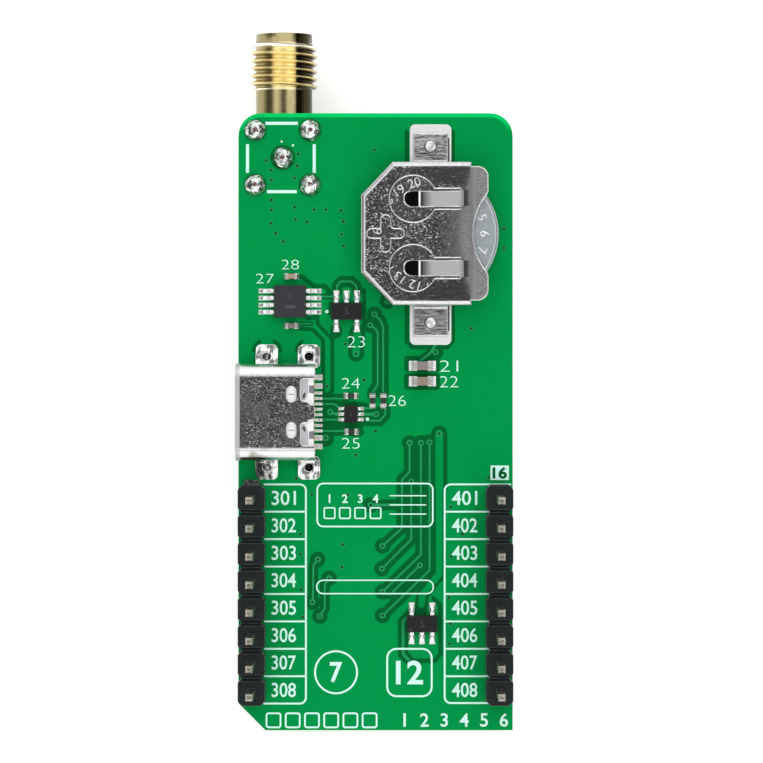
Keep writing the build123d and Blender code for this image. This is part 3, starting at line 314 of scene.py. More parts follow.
def clip_wear(s):
    """The clip: satin towards its lip, smooth on its two fingers, rolled lines on its feet, and painted shade and
    highlights on the fingers and at the lip's bend.
    """
    along = s.math("SUBTRACT", s.axis("X"), CELL_AT[0])
    out = s.math("ABSOLUTE", s.math("SUBTRACT", s.axis("Y"), CELL_AT[1]))
    beside = s.math("ABSOLUTE", s.math("SUBTRACT", out, FINGER_REACH))
    finger = s.math("MULTIPLY", s.span(beside, 0.74, 0.80, 1, 0),
                    within(s, along, FINGER_BEND - 1.7, FINGER_ROOT, 0.04))
    # Painted shading: each finger goes from dark at its tip end to lighter up its slope.
    finger_painted_shading = s.span(along, FINGER_BEND, FINGER_BEND + 1.4, 0.05, 0.47)
    # Painted shade at each finger's tip.
    tip_painted_shade = s.math("MULTIPLY", finger, s.span(along, FINGER_BEND - 0.12, FINGER_BEND - 0.05, 1, 0))
    # Painted highlight on the crest where each finger's tip curls up.
    crest_painted_highlight = s.math("MULTIPLY", finger, within(s, along, FINGER_BEND - 0.12, FINGER_BEND + 0.10, 0.05))
    curve = s.math("SUBTRACT", along, s.math("MULTIPLY", s.math("MULTIPLY", out, out), 0.03))
    lines = s.noise(2.2, 4, 0.75, vector=s.stretch((0.5, 4.0, 1.0)))
    rolled = s.mix(s.span(s.axis("Y"), CELL_AT[1] - 1, CELL_AT[1] + 1), (0.50, 0.50, 0.50), (0.62, 0.62, 0.62))
    rolled = s.mix(s.span(lines, 0.38, 0.62), (0.07, 0.07, 0.07), rolled)
    streaks = s.noise(3, 4, 0.7, vector=s.stretch((0.3, 3.0, 1.0)))
    strips = s.math("MULTIPLY", s.span(out, 4.2, 4.8), s.span(s.facing("Z"), 0.98, 0.998))
    strips = s.math("MULTIPLY", strips, s.span(along, -3.5, 1.0, 0.25, 0.8))
    strips = s.math("MULTIPLY", strips, s.span(streaks, 0.35, 0.65, 0.35, 1.0))
    centre = s.math("MULTIPLY", s.span(along, -1.2, 3.4, 0, 0.6), s.span(out, 2.0, 2.5, 1, 0))
    grain = s.math("ADD", s.math("MULTIPLY", s.noise(8, 4, 0.8), 0.7), s.math("MULTIPLY", streaks, 0.3))
    satin = s.mix(s.span(grain, 0.40, 0.60), (0.15, 0.15, 0.155), (0.40, 0.40, 0.405))
    # Painted shadow at each finger's root, where it leaves the plate.
    root = s.math("MULTIPLY", s.span(beside, 0.74, 0.80, 1, 0), s.span(along, FINGER_ROOT + 0.1, 3.7, 0.9, 0))
    root = s.math("MULTIPLY", root, s.span(along, FINGER_ROOT - 0.12, FINGER_ROOT - 0.08))
    return (
        (strips, (0.05, 0.05, 0.05), 0.22),
        (centre, (0.25, 0.25, 0.255), 0.30),
        (s.span(curve, 1.9, LIP_BEND), satin, 0.34),
        # Painted shade: a darker band at the lip's bend, cutting the highlight there.
        (within(s, along, LIP_BEND - 0.3, LIP_BEND + 0.8, 0.5), (0.21, 0.21, 0.215), 0.36),
        (finger, finger_painted_shading, 0.30),
        (root, (0.04, 0.04, 0.04), 0.3),
        (tip_painted_shade, (0.03, 0.03, 0.03), 0.2),
        (crest_painted_highlight, (0.85, 0.85, 0.84), 0.3),
        (s.span(out, 6.8, 6.9), rolled, 0.33),
    )


def shell_wear(s):
    """The socket's shell: a painted highlight where its sheet is bent, scuffs, a satin rim round its mouth, and the
    seam where its sheet meets.
    """
    scuffs = s.span(s.noise(0.45, 4, 0.65, vector=s.stretch((1.6, 0.8, 1.0))), 0.46, 0.62, 0, 0.4)
    scuffs = s.math("MULTIPLY", scuffs, s.span(s.facing("Z"), 0.95, 0.99))
    front = s.span(s.axis("X"), SOCKET_FRONT + 0.36, SOCKET_FRONT + 0.50, 1, 0)
    seam = within(s, s.axis("Y"), SOCKET_SEAM - 0.03, SOCKET_SEAM + 0.03, 0.015)
    seam = s.math("MULTIPLY", seam, s.span(s.facing("Z"), 0.5, 0.6))
    # Painted highlight: a paler colour wherever the shell is not level.
    bends_painted_highlight = s.span(s.facing("Z"), 0.93, 0.985, 1, 0)
    return ((bends_painted_highlight, (0.70, 0.70, 0.69), 0.17), (scuffs, (0.32, 0.32, 0.31), 0.30), (front, (0.50, 0.50, 0.51), 0.42),
            (seam, (0.16, 0.16, 0.16), 0.3))


def cell_steel():
    """The cell's can: bright rolled steel, turning satin and bluish towards the clip's lip as a painted reflection of
    the light there, with a painted highlight along its edges.
    """
    s = Shade("cell_steel")
    lines = s.noise(9, 4, 0.6, vector=s.stretch((0.12, 2.2, 2.2)))
    # Painted reflection: towards the lip the colour turns bluish and the surface satin, in place of the light seen on
    # the exposed part of the can.
    mouth = s.span(s.axis("X"), CELL_AT[0] + 1.0, CELL_AT[0] + 3.6)
    under = s.mix(lines, (0.58, 0.59, 0.61), (0.82, 0.83, 0.85))
    bare = s.mix(lines, (0.33, 0.37, 0.39), (0.47, 0.51, 0.53))
    # Painted highlight: pale along the edges.
    colour = s.mix(s.edges(0.09), s.mix(mouth, under, bare), (0.9, 0.93, 0.95))
    return s.finish(colour, s.span(mouth, 0, 1, 0.13, 0.34), 1.0, normal=s.spangle(8, 0.08, s.rounded(0.09)))


def foot_solder():
    """Solder under the clip's feet: satin on the pads with a painted highlight along their edges, a painted shadow in
    the gap beside each foot, and raised through their holes with painted shade on each dome's sides.
    """
    s = Shade("foot_solder")
    high = s.span(s.axis("Z"), 0.16, 0.24)
    level = s.span(s.facing("Z"), 0.75, 0.98)
    dapple = s.span(s.noise(1.6, 2), 0.40, 0.60)
    # Painted shade: the domes are lighter where they face up and darker down their sides.
    dome_painted_shade = s.mix(level, (0.36, 0.36, 0.36), s.mix(dapple, (0.50, 0.50, 0.50), (0.90, 0.90, 0.89)))
    # Painted shadow: a dark stripe in the gap beside each foot.
    gap = within(s, s.math("SUBTRACT", s.axis("X"), CELL_AT[0]), 1.58, 1.76, 0.03)
    out = s.math("ABSOLUTE", s.math("SUBTRACT", s.axis("Y"), CELL_AT[1]))
    gap = s.math("MULTIPLY", gap, s.span(out, 8.9, 9.0, 0.9, 0))
    pad = s.mix(s.noise(5, 3), (0.62, 0.62, 0.61), (0.80, 0.80, 0.79))
    # Painted highlight: near-white along the pad edges.
    pad = s.mix(s.edges(0.12), s.mix(gap, pad, (0.02, 0.03, 0.02)), (0.95, 0.95, 0.94))
    return s.finish(s.mix(high, pad, dome_painted_shade), s.span(high, 0, 1, 0.46, s.span(level, 0, 1, 0.25, 0.5)), 1.0,
                    normal=s.bump(s.noise(2.4, 3, 0.55), 0.03, s.rounded(0.09)))


def leg_solder():
    """Solder round the socket's legs: a painted highlight along its border, dark waves, and painted shade in the hollow
    where each leg goes down.
    """
    s = Shade("leg_solder")
    skin = s.noise(1.1, 3, 0.5)
    across = s.math("MINIMUM", *(s.math("ABSOLUTE", s.math("SUBTRACT", s.axis("X"), x)) for x in LEG_XS))
    along = s.math("ABSOLUTE", s.math("SUBTRACT", s.axis("Y"), SOCKET_Y))
    along = s.math("ABSOLUTE", s.math("SUBTRACT", along, LEG_REACH))
    inner = s.span(across, 0.34, 0.36, 1, 0)
    inner_leg = s.span(s.axis("X"), -8.3, -8.1)
    half = s.math("ADD", s.span(inner_leg, 0, 1, 0.14, 0.30), s.math("MULTIPLY", s.noise(2.2, 2), 0.14))
    # Painted shade: near-black in the hollow round each leg, darker by the inner legs.
    hollow_painted_shade = s.math("MULTIPLY", s.span(s.math("SUBTRACT", across, half), -0.06, 0.06, 1, 0),
                 s.span(s.math("SUBTRACT", along, half), -0.06, 0.06, 1, 0))
    block = s.math("MULTIPLY", inner, s.span(along, 0.42, 0.50, 1, 0))
    waves = s.span(s.noise(1.5, 1, 0.4, vector=s.stretch((1.6, 0.8, 1.0))), 0.40, 0.58)
    rim = within(s, across, 0.74, 0.86, 0.05)
    colour = s.mix(waves, (0.12, 0.13, 0.12), (0.74, 0.74, 0.73))
    colour = s.mix(s.math("MULTIPLY", rim, 0.7), colour, (0.10, 0.12, 0.11))
    colour = s.mix(s.math("MULTIPLY", block, 0.75), colour, (0.34, 0.31, 0.30))
    colour = s.mix(hollow_painted_shade, colour, s.mix(inner_leg, (0.10, 0.10, 0.10), (0.012, 0.012, 0.012)))
    # Painted highlight: near-white along the edges.
    colour = s.mix(s.edges(0.13), colour, (0.92, 0.93, 0.92))
    height = s.math("ADD", skin, s.math("MULTIPLY", block, 0.3))
    return s.finish(colour, 0.24, 1.0, normal=s.bump(height, 0.12, s.rounded(0.08)))


def dome_solder():
    """The domes on the antenna jack's legs: bright rippled solder, with the leg's end showing brown at the top and a
    painted reflection of the green board round their foot.
    """
    s = Shade("dome_solder")
    skin = s.math("ADD", s.noise(1.2, 2, 0.5), s.math("MULTIPLY", s.noise(3.4, 2, 0.5), 0.10))
    tip = s.math("MULTIPLY", s.span(s.facing("Z"), 0.955, 0.985), s.span(s.noise(3, 2), 0.35, 0.5, 0.6, 1))
    grey = s.mix(s.span(s.noise(1.9, 4, 0.6), 0.38, 0.6), (0.17, 0.20, 0.18), (0.74, 0.77, 0.74))
    # Painted reflection of the green board: dark green low on each dome, pale green at its very foot.
    grey = s.mix(s.span(s.axis("Z"), 0.08, 0.24), (0.10, 0.15, 0.12), grey)
    grey = s.mix(s.span(s.axis("Z"), 0.04, 0.07), (0.62, 0.74, 0.66), grey)
    return s.finish(s.mix(tip, grey, (0.12, 0.06, 0.05)), 0.10, 1.0, normal=s.bump(skin, 0.30, s.rounded(0.05)))


def solder(name, rough, wave, depth, edge=0.06):
    """Solder that froze with a wavy skin."""
    s = Shade(name)
    skin = s.noise(wave, 3, 0.55)
    return s.finish(s.mix(s.noise(5, 3), (0.74, 0.75, 0.76), (0.93, 0.93, 0.93)),
                    s.span(s.noise(6, 2), 0.3, 0.7, rough - 0.06, rough + 0.06), 1.0,
                    normal=s.bump(skin, depth, s.rounded(edge)))


def contact_metal():
    """The socket's contacts: gold inside the shell, tinned where their tails are soldered down."""
    s = Shade("contact_gold")
    marks = s.noise(6, 3, 0.6)
    metal = s.mix(s.noise(2.2, 3), (0.80, 0.64, 0.34), (0.92, 0.78, 0.50))
    return s.finish(s.mix(s.span(s.axis("X"), -5.62, -5.5), metal, (0.88, 0.88, 0.86)),
                    s.span(marks, 0.3, 0.7, 0.22, 0.38), 1.0, normal=s.bump(marks, 0.012, s.rounded(0.05)))


def gold(name, low, high, rough=0.2):
    """Gold plate."""
    s = Shade(name)
    marks = s.noise(6, 3, 0.6, vector=s.stretch((1.5, 1.5, 1.5)))
    return s.finish(s.mix(s.noise(2.2, 3), low, high), s.span(marks, 0.3, 0.7, rough - 0.05, rough + 0.07), 1.0,
                    normal=s.bump(marks, 0.004, s.rounded(0.05)))


def turned_gold():
    """The barrel's gold plate: the fine rings that turning leaves, greyer off the thread, with painted shade on its
    sides and painted highlights at the thread's ends.
    """
    s = Shade("turned_gold")
    rings = s.noise(6, 3, 0.6, vector=s.stretch((0.15, 4, 0.15)))
    threaded = within(s, s.axis("Y"), THREAD_AT.y - 2.1, THREAD_AT.y + 2.45, 0.1)
    bare = s.mix(s.noise(2.2, 3), (0.31, 0.26, 0.125), (0.42, 0.36, 0.185))
    bright = s.mix(s.noise(2.2, 3), (0.82, 0.68, 0.33), (0.98, 0.84, 0.48))
    metal = s.mix(threaded, bare, bright)
    out = s.math("SUBTRACT", s.axis("X"), THREAD_AT.x)
    up = s.math("SUBTRACT", s.axis("Z"), THREAD_AT.z)
    radius = s.math("SQRT", s.math("ADD", s.math("MULTIPLY", out, out), s.math("MULTIPLY", up, up)))
    side = s.math("DIVIDE", out, radius)
    valley = s.span(radius, 2.88, 3.08, 1, 0.15)
    # Painted shade: the two sides darken, most in the thread's valleys, and the right side darkest.
    left_painted_shade = s.math("MULTIPLY", s.span(side, -0.44, -0.38, s.span(threaded, 0, 1, 0.30, 0.62), 0), valley)
    right_painted_shade = s.math("MULTIPLY", s.span(side, 0.42, 0.47, 0, 0.94), valley)
    metal = s.mix(left_painted_shade, metal, (0.13, 0.095, 0.02))
    metal = s.mix(right_painted_shade, metal, (0.02, 0.013, 0.002))
    # Painted highlight: near-white bands at the thread's two ends.
    ends = s.math("MAXIMUM", within(s, s.axis("Y"), THREAD_AT.y + 1.72, THREAD_AT.y + 2.42, 0.08),
                  within(s, s.axis("Y"), THREAD_AT.y - 2.05, THREAD_AT.y - 1.85, 0.05))
    metal = s.mix(s.math("MULTIPLY", ends, s.span(radius, 2.66, 2.72)), metal, (1.0, 0.96, 0.82))
    gloss = s.math("ADD", s.span(rings, 0.3, 0.7, 0.14, 0.25), s.span(threaded, 0, 1, 0, 0.10))
    return s.finish(metal, gloss, 1.0, normal=s.bump(rings, 0.004, s.rounded(0.05)))


def brushed(name, low, high, rough, scale):
    """Rolled or brushed metal, with its lines along X."""
    s = Shade(name)
    lines = s.noise(9, 4, 0.6, vector=s.stretch(scale))
    return s.finish(s.mix(lines, low, high), s.span(lines, 0.25, 0.75, rough - 0.08, rough + 0.1), 1.0,
                    normal=s.bump(lines, 0.004, s.rounded(0.07)))


def fired_ceramic():
    """Chip capacitors: each size and place was fired to a colour of its own."""
    s = Shade("fired_ceramic")
    upper = s.span(s.axis("Y"), 11.0, 11.2)
    small = s.mix(upper, (0.23, 0.20, 0.22), (0.52, 0.36, 0.27))
    large = s.mix(s.span(s.axis("Y"), 4.4, 4.5), (0.34, 0.25, 0.19), (0.27, 0.235, 0.225))
    body = s.mix(s.span(s.axis("X"), 0.0, 0.1), small, large)
    grain = s.noise(11, 4, 0.65)
    return s.finish(s.mix(s.span(grain, 0.35, 0.75), body, (0.12, 0.09, 0.08)), 0.45,
                    normal=s.bump(grain, 0.012, s.rounded(0.06)))


def clear_resin():
    s = Shade("clear_resin")
    return s.finish(s.mix(s.noise(4, 2), (0.86, 0.92, 0.84), (0.95, 0.97, 0.93)), 0.12,
                    normal=s.bump(s.noise(5, 2), 0.006), Transmission_Weight=0.7, IOR=1.5)


LOOKS = {
    "board": solder_mask(),
    "housing": housing_plastic(),
    "header_pin": plate("pin_plate", (0.26, 0.25, 0.20), (0.46, 0.44, 0.36), 0.26, 9, 0.05, 0.03),
    "solder": solder("pad_solder", 0.42, 1.6, 0.05),
    "jack_gold": gold("jack_gold", (0.72, 0.56, 0.26), (0.88, 0.72, 0.38), 0.22),
    "insulator": moulded("white_plastic", (0.80, 0.80, 0.79), (0.92, 0.92, 0.91), 0.42, 7, 0.008),
    "cell_metal": cell_steel(),
    "clip_steel": plate("clip_plate", (0.39, 0.39, 0.40), (0.72, 0.72, 0.72), 0.12, 11, 0.105, 0.2, clip_wear),
    "usb_steel": plate("shell_plate", (0.38, 0.38, 0.39), (0.70, 0.70, 0.69), 0.13, 14, 0.105, 0.09, shell_wear),
    "contact_gold": contact_metal(),
    # The last colour of this chip body is a painted highlight along its edges.
    "chip_black": moulded("chip_black", (0.009, 0.009, 0.010), (0.015, 0.015, 0.017), 0.5, 16, 0.012, 0.05,
                          (0.05, 0.05, 0.052), Specular_IOR_Level=0.16),
    "lead_tin": solder("lead_tin", 0.4, 4, 0.03),
    "resistor_body": moulded("resistor_glaze", (0.012, 0.012, 0.014), (0.022, 0.022, 0.024), 0.3, 8, 0.008, 0.04),
    "capacitor_body": fired_ceramic(),
    "module_board": mask_over("module_mask", (0.006, 0.045, 0.028), (0.012, 0.060, 0.036)),
    "can_steel": brushed("can_steel", (0.60, 0.60, 0.59), (0.72, 0.72, 0.70), 0.33, (0.12, 2.6, 2.6)),
    "lamp_lens": clear_resin(),
}
SHINY_SOLDER = solder("shiny_solder", 0.14, 2.2, 0.035)
END_TIN = plate("end_tin", (0.44, 0.44, 0.43), (0.70, 0.70, 0.68), 0.30, 6, 0.04, 0.09)
NODE_LOOKS = {
    "antenna_jack_solder": dome_solder(),
    "usb_shell_solder": leg_solder(),
    "clip_solder": foot_solder(),
    "header_solder": SHINY_SOLDER,
    "receiver_solder": SHINY_SOLDER,
    "resistor_ends": END_TIN,
    "small_capacitor_ends": END_TIN,
    "large_capacitor_ends": END_TIN,
    "far_resistor_ends": END_TIN,
    "far_capacitor_ends": END_TIN,
    # The last colour of this chip body is a painted highlight along its edges.
    "power_chip_body": moulded("power_chip_black", (0.026, 0.028, 0.031), (0.033, 0.036, 0.040), 0.5, 16, 0.012, 0.05,
                               (0.06, 0.06, 0.065), Specular_IOR_Level=0.16),
}
TRACE = mask_over("mask_on_trace", (0.012, 0.27, 0.088), (0.020, 0.31, 0.105))
CLEARANCE = mask_over("mask_on_laminate", (0.0, 0.106, 0.023), (0.001, 0.124, 0.028))
VIA_HOLE = mask_over("via_hole", (0.0, 0.03, 0.008), (0.0, 0.05, 0.012), 0.5)
PRINT = screen_print()

for row in frame["record"]["subparts"]:
    node = frame["nodes"][row["node"]]
    node.data.materials.clear()
    node.data.materials.append(NODE_LOOKS.get(row["node"]) or LOOKS[row["material_slot"]])


# Flat work on the board: shapes in board millimetres, each a thin slab with straight walls
def ribbon(path, width, closed=False, round_ends=True):
    """Points and faces of a line of one width along a path, with mitred corners."""
    points = [Vector(point) for point in path]
    count = len(points)
    runs = [(points[(i + 1) % count] - points[i]).normalized() for i in range(count if closed else count - 1)]
    left, right = [], []
    for i, point in enumerate(points):
        before = runs[(i - 1) % len(runs)] if closed or i else runs[0]
        after = runs[i % len(runs)] if closed or i < len(runs) else runs[-1]
        middle = (before + after).normalized()
        side = Vector((-middle.y, middle.x))
        side *= width / 2 / max(side.dot(Vector((-after.y, after.x))), 0.35)
        left.append(point + side)
        right.append(point - side)
    shape = left + right
    faces = [[i, count + i, count + (i + 1) % count, (i + 1) % count] for i in range(len(runs))]
    if round_ends and not closed:
        for end, first, last in ((0, 0, count), (count - 1, 2 * count - 1, count - 1)):
            start = shape[first] - points[end]
            arc = [points[end] + Matrix.Rotation(math.pi * k / 6, 2) @ start for k in range(1, 6)]
            faces.append([first, *range(len(shape), len(shape) + 5), last])
            shape += arc
    return shape, faces


def disc(centre, radius, sides=20):
    steps = [2 * math.pi * k / sides for k in range(sides)]
    return [Vector((centre[0] + radius * math.cos(a), centre[1] + radius * math.sin(a))) for a in steps], \
        [list(range(sides))]


def ring(centre, radius, width, sides=20):
    return ribbon(disc(centre, radius, sides)[0], width, closed=True)


def bar(low, high):
    return [Vector(low), Vector((high[0], low[1])), Vector(high), Vector((low[0], high[1]))], [[0, 1, 2, 3]]


def rounded_box(low, high, radius, steps=5):
    """Corner points of a rectangle with round corners, anticlockwise."""
    points = []
    for cx, cy, start in ((high[0] - radius, high[1] - radius, 0), (low[0] + radius, high[1] - radius, 1),
                          (low[0] + radius, low[1] + radius, 2), (high[0] - radius, low[1] + radius, 3)):
        for k in range(steps + 1):
            angle = math.pi / 2 * (start + k / steps)
            points.append((cx + radius * math.cos(angle), cy + radius * math.sin(angle)))
    return points


def words(text, centre, width, height, weight=0.0, angle=0.0):
    """Points and faces of a line of figures, fitted to a height, and to a width unless that is None."""
    curve = bpy.data.curves.new("words", "FONT")
    curve.body = text
    curve.resolution_u = 5
    curve.offset = weight
    holder = bpy.data.objects.new("words", curve)
    bpy.context.scene.collection.objects.link(holder)
    bpy.context.view_layer.update()
    mesh = bpy.data.meshes.new_from_object(holder.evaluated_get(bpy.context.evaluated_depsgraph_get()))
    places = np.array([vertex.co[:2] for vertex in mesh.vertices])
    low, high = places.min(0), places.max(0)
    size = high - low
    scale = height / size[1]
    places = (places - (low + high) / 2) * ((width / size[0] if width else scale), scale)
    turned = np.array([(math.cos(angle), math.sin(angle)), (-math.sin(angle), math.cos(angle))])
    places = places @ turned + centre
    faces = [list(face.vertices) for face in mesh.polygons]
    bpy.data.objects.remove(holder)
    bpy.data.curves.remove(curve)
    bpy.data.meshes.remove(mesh)
    shape = [Vector(place) for place in places]
    a, b, c = (shape[i] for i in faces[0][:3])
    if (b - a).cross(c - a) < 0:
        faces = [face[::-1] for face in faces]
    return shape, faces


class Layer:
    """One layer of flat work on a side of the board."""

    def __init__(self, far=False):
        self.points, self.faces, self.far, self.count = [], [], far, 0

    def put(self, item, height, depth=0.0):
        """Adds a shape as a slab. Each is a hair higher than the one before, so none share a face."""
        shape, faces = item
        self.count += 1
        top = height + self.count * 0.00015
        base, size = len(self.points), len(shape)
        self.points += [(p[0], p[1], top) for p in shape] + [(p[0], p[1], -0.01 - depth) for p in shape]
        self.faces += [[base + i for i in face] for face in faces]
        self.faces += [[base + size + i for i in reversed(face)] for face in faces]
        edges = {(a, b) for face in faces for a, b in zip(face, face[1:] + face[:1])}
        self.faces += [[base + b, base + a, base + size + a, base + size + b]
                       for a, b in sorted(edges) if (b, a) not in edges]

    def piece(self, name, material, slot):
        flip = Matrix.Translation((0, 0, -THICKNESS)) @ Matrix.Rotation(math.pi, 4, "Y") if self.far else Matrix()
        return solid(name, self.points, self.faces, material, flip)


def solid(name, points, faces, material, place=Matrix(), smooth=False):
    """A piece of the part from points in board millimetres."""
    mesh = bpy.data.meshes.new(name)
    mesh.from_pydata([tuple(point) for point in points], [], faces)
    mesh.transform(BOARD_MM @ place)
    mesh.validate()
    mesh.materials.append(material)
    for face in mesh.polygons:
        face.use_smooth = smooth
    piece = bpy.data.objects.new(name, mesh)
    bpy.context.scene.collection.objects.link(piece)
    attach(piece, "root")
    return piece


# Copper under the mask on the pin side: paths, the trace's width (0 where only the gap shows) and the gap's width
PIN_SIDE_TRACES = (
    (((-0.1, 9.95), (0.45, 9.4), (0.7, 8.8), (0.7, 2.6)), 0.2, 1.05),
    (((-0.5, 8.95), (0.0, 8.6), (0.2, 8.25), (0.2, 3.45), (-0.25, 2.75), (-0.3, 2.55)), 0.2, 1.05),
    (((-3.6, 12.05), (-3.55, 12.6), (-3.2, 13.0), (-2.25, 13.0), (-1.8, 12.6), (-1.7, 12.05)), 0.2, 1.0),
    (((-4.95, 11.6), (-3.85, 11.6)), 0.2, 0.55),
    (((-1.05, 12.2), (-1.05, 8.95)), 0, 0.35),
    (((-7.15, 8.65), (-5.85, 8.55), (-4.85, 7.55), (-4.85, 2.75)), 0, 0.35),
    (((-5.4, 10.0), (-5.35, 9.05), (-4.0, 7.65), (-4.0, 2.85), (-4.35, 2.55), (-4.95, 2.55)), 0, 0.35),
    (((-7.05, 9.05), (-5.95, 9.1)), 0.15, 0.4),
    (((-6.85, 13.45), (-5.7, 12.55), (-4.7, 12.55), (-4.35, 12.2), (-4.35, 11.85)), 0, 0.45),
    (((-6.3, 9.55), (-5.6, 9.65)), 0, 0.4),
    (((-4.2, 11.05), (-4.2, 10.0)), 0, 0.3),
    (((-1.7, 8.3), (-1.8, 6.3)), 0.7, 1.5),
    (((-3.65, 8.6), (-3.65, 8.25)), 0, 1.1),
    (((-11.3, 6.6), (-11.1, 7.15), (-10.7, 7.45)), 0, 0.3),
    (((-9.4, 7.45), (-8.95, 7.15), (-8.8, 6.6)), 0, 0.3),
    (((-7.35, 6.6), (-7.15, 7.15), (-6.8, 7.45)), 0, 0.3),
    (((-4.95, 2.15), (-2.95, 2.15)), 0.2, 0.9),
    (((-5.25, 1.65), (-3.85, 1.65), (-3.4, 1.3)), 0.2, 0.9),
    (((-4.2, 0.9), (-3.65, 0.7), (-3.2, 0.7)), 0.3, 0.9),
    (((-4.95, 0.2), (-3.35, 0.2)), 0.2, 0.9),
    (((-4.95, -0.85), (-2.9, -0.85)), 0.2, 0.9),
    (((-1.35, 1.25), (-0.4, 1.25)), 0.2, 0.8),
    (((-1.35, 0.7), (0.05, 0.7)), 0.3, 0.9),
    (((-0.8, 0.1), (0.4, 0.1), (0.9, 0.65), (0.9, 1.25)), 0.2, 1.0),
    (((-4.0, 1.05), (-1.35, 1.05)), 0, 1.6),
    (((-4.95, -0.25), (-1.35, -0.25)), 0, 0.7),
    (((-4.6, -1.3), (-4.6, -1.6)), 0, 1.5),
    (((-2.15, -0.95), (-1.45, -0.95)), 0, 0.8),
    (((5.9, -1.1), (5.9, -6.1)), 0.7, 1.5),
    (((5.9, -6.05), (5.9, -14.1), (4.35, -16.0), (4.25, -16.95)), 0.6, 1.2),
    (((3.15, -1.95), (3.15, -4.65), (2.45, -5.35), (2.45, -9.85), (0.65, -11.5)), 0.2, 1.05),
    (((3.3, -5.55), (3.3, -10.9), (0.6, -13.6)), 0.2, 1.05),
    (((4.2, -1.95), (4.2, -12.3), (0.65, -15.75)), 0.2, 1.05),
    (((4.1, -13.3), (1.3, -16.05)), 0.2, 0.8),
    (((5.0, -1.9), (5.0, -13.75), (0.65, -17.95)), 0.2, 1.05),
    (((-0.45, -7.7), (2.45, -7.7)), 0.3, 1.0),
    (((5.3, -15.45), (4.1, -16.7)), 0, 0.45),
    (((3.4, -17.6), (2.55, -18.5), (2.55, -21.5), (3.05, -22.05)), 0.3, 0.95),
    (((5.35, -16.35), (5.95, -16.95), (6.0, -21.55), (5.45, -22.15), (3.15, -22.15)), 0, 0.4),
    (((4.3, -16.6), (4.3, -17.75)), 0, 0.9),
    (((-5.35, -12.75), (-5.75, -13.25), (-5.8, -16.35), (-5.85, -16.7)), 0.2, 0.9),
    (((-4.3, -14.5), (-4.7, -15.05), (-4.7, -17.25), (-5.15, -18.0)), 0.2, 0.9),
    (((2.9, 24.05), (2.9, 26.85)), 0, 0.4),
    (((7.15, 24.05), (7.15, 26.85)), 0, 0.4),
    (((2.9, 10.6), (2.9, 7.45), (3.4, 6.9), (4.9, 6.9)), 0, 0.4),
    (((7.15, 10.6), (7.15, 7.45), (6.65, 6.9), (6.1, 6.9)), 0, 0.4),
    (((5.5, 7.05), (5.0, 6.3), (4.05, 5.55)), 0.25, 0.8),
)
RINGED_VIAS = (
    (-0.1, 9.95), (-0.5, 8.95), (-1.8, 6.3), (0.05, 0.7), (-4.2, 0.9), (-4.6, -1.5), (3.15, -1.95),
    (4.2, -1.95), (5.0, -1.9), (5.9, -1.1), (3.3, -5.55), (0.65, -11.5), (0.6, -13.6), (4.1, -13.3),
    (0.65, -15.75), (0.65, -17.95), (-0.45, -7.7), (-5.35, -12.75), (-4.3, -14.5), (-5.85, -16.7),
    (-5.15, -18.0), (1.1, 11.15), (5.55, 6.45),
)
PLAIN_VIAS = (
    (-1.05, 3.85), (-4.5, 3.3), (0.0, -0.85), (-1.85, -3.1), (-7.35, -5.25), (-5.9, -6.75), (-2.6, -6.8),
    (-2.8, 7.2), (-10.15, 24.2), (-7.15, 24.8), (-7.25, 23.7), (-9.7, 23.3), (-9.65, 22.4), (-7.5, 22.55),
    (-9.65, 20.55), (-9.65, 19.6), (-7.5, 19.9), (-5.7, 19.65), (-4.6, 19.65), (-3.2, 19.55), (-9.7, 18.4),
    (-7.4, 18.75), (-6.35, 18.5), (-3.0, 18.55), (-9.25, 17.45), (-8.55, 16.7), (-3.15, 17.35),
    (-2.95, 16.3), (-0.1, 25.2), (11.9, 17.85), (11.9, 16.1), (8.85, 8.65), (-6.95, -10.4), (-3.05, -11.4),
    (-6.95, -12.25), (-3.1, -13.45), (-6.9, -15.55), (-6.75, -18.1), (6.95, -7.9), (8.05, -10.4),
    (7.0, -12.5), (6.8, -16.3), (6.95, -18.7), (6.85, -20.55), (10.45, -5.15),
)
GAP_HEIGHT = 0.012
TRACE_HEIGHT = 0.030
PRINT_HEIGHT = 0.045

WIDE_TRACE = 0.5
gaps, traces, strips, vias, holes = Layer(), Layer(), Layer(), Layer(), Layer()
for path, trace_width, gap_width in PIN_SIDE_TRACES:
    gaps.put(ribbon(path, gap_width), GAP_HEIGHT)
    if trace_width:
        wide = trace_width > WIDE_TRACE
        (strips if wide else traces).put(ribbon(path, trace_width * (1 if wide else 0.85)), TRACE_HEIGHT)
gaps.put(disc(JACK_AT, 1.14, 32), GAP_HEIGHT)
for low, high in (((2.65, 4.62), (5.95, 6.1)), ((2.65, 2.95), (5.95, 4.5))):
    outline = [Vector(point) for point in rounded_box(low, high, 0.3)]
    gaps.put((outline, [list(range(len(outline)))]), GAP_HEIGHT)
for place in RINGED_VIAS:
    gaps.put(disc(place, 0.72), GAP_HEIGHT)
    vias.put(disc(place, 0.28), TRACE_HEIGHT + 0.006)
    holes.put(disc(place, 0.12, 12), TRACE_HEIGHT + 0.02)
for place in PLAIN_VIAS:
    vias.put(ring(place, 0.18, 0.10), 0.02)
    holes.put(disc(place, 0.12, 12), 0.025)
gaps.piece("pin_side_gaps", CLEARANCE, "board")
traces.piece("pin_side_traces", TRACE, "board")
strips.piece("pin_side_wide_traces", LOOKS["board"], "board")
vias.piece("pin_side_vias", TRACE, "board")
holes.piece("pin_side_via_holes", VIA_HOLE, "board")

# White print on the pin side
ROW_PITCH = 2.54
ink = Layer()
LINE = 0.17


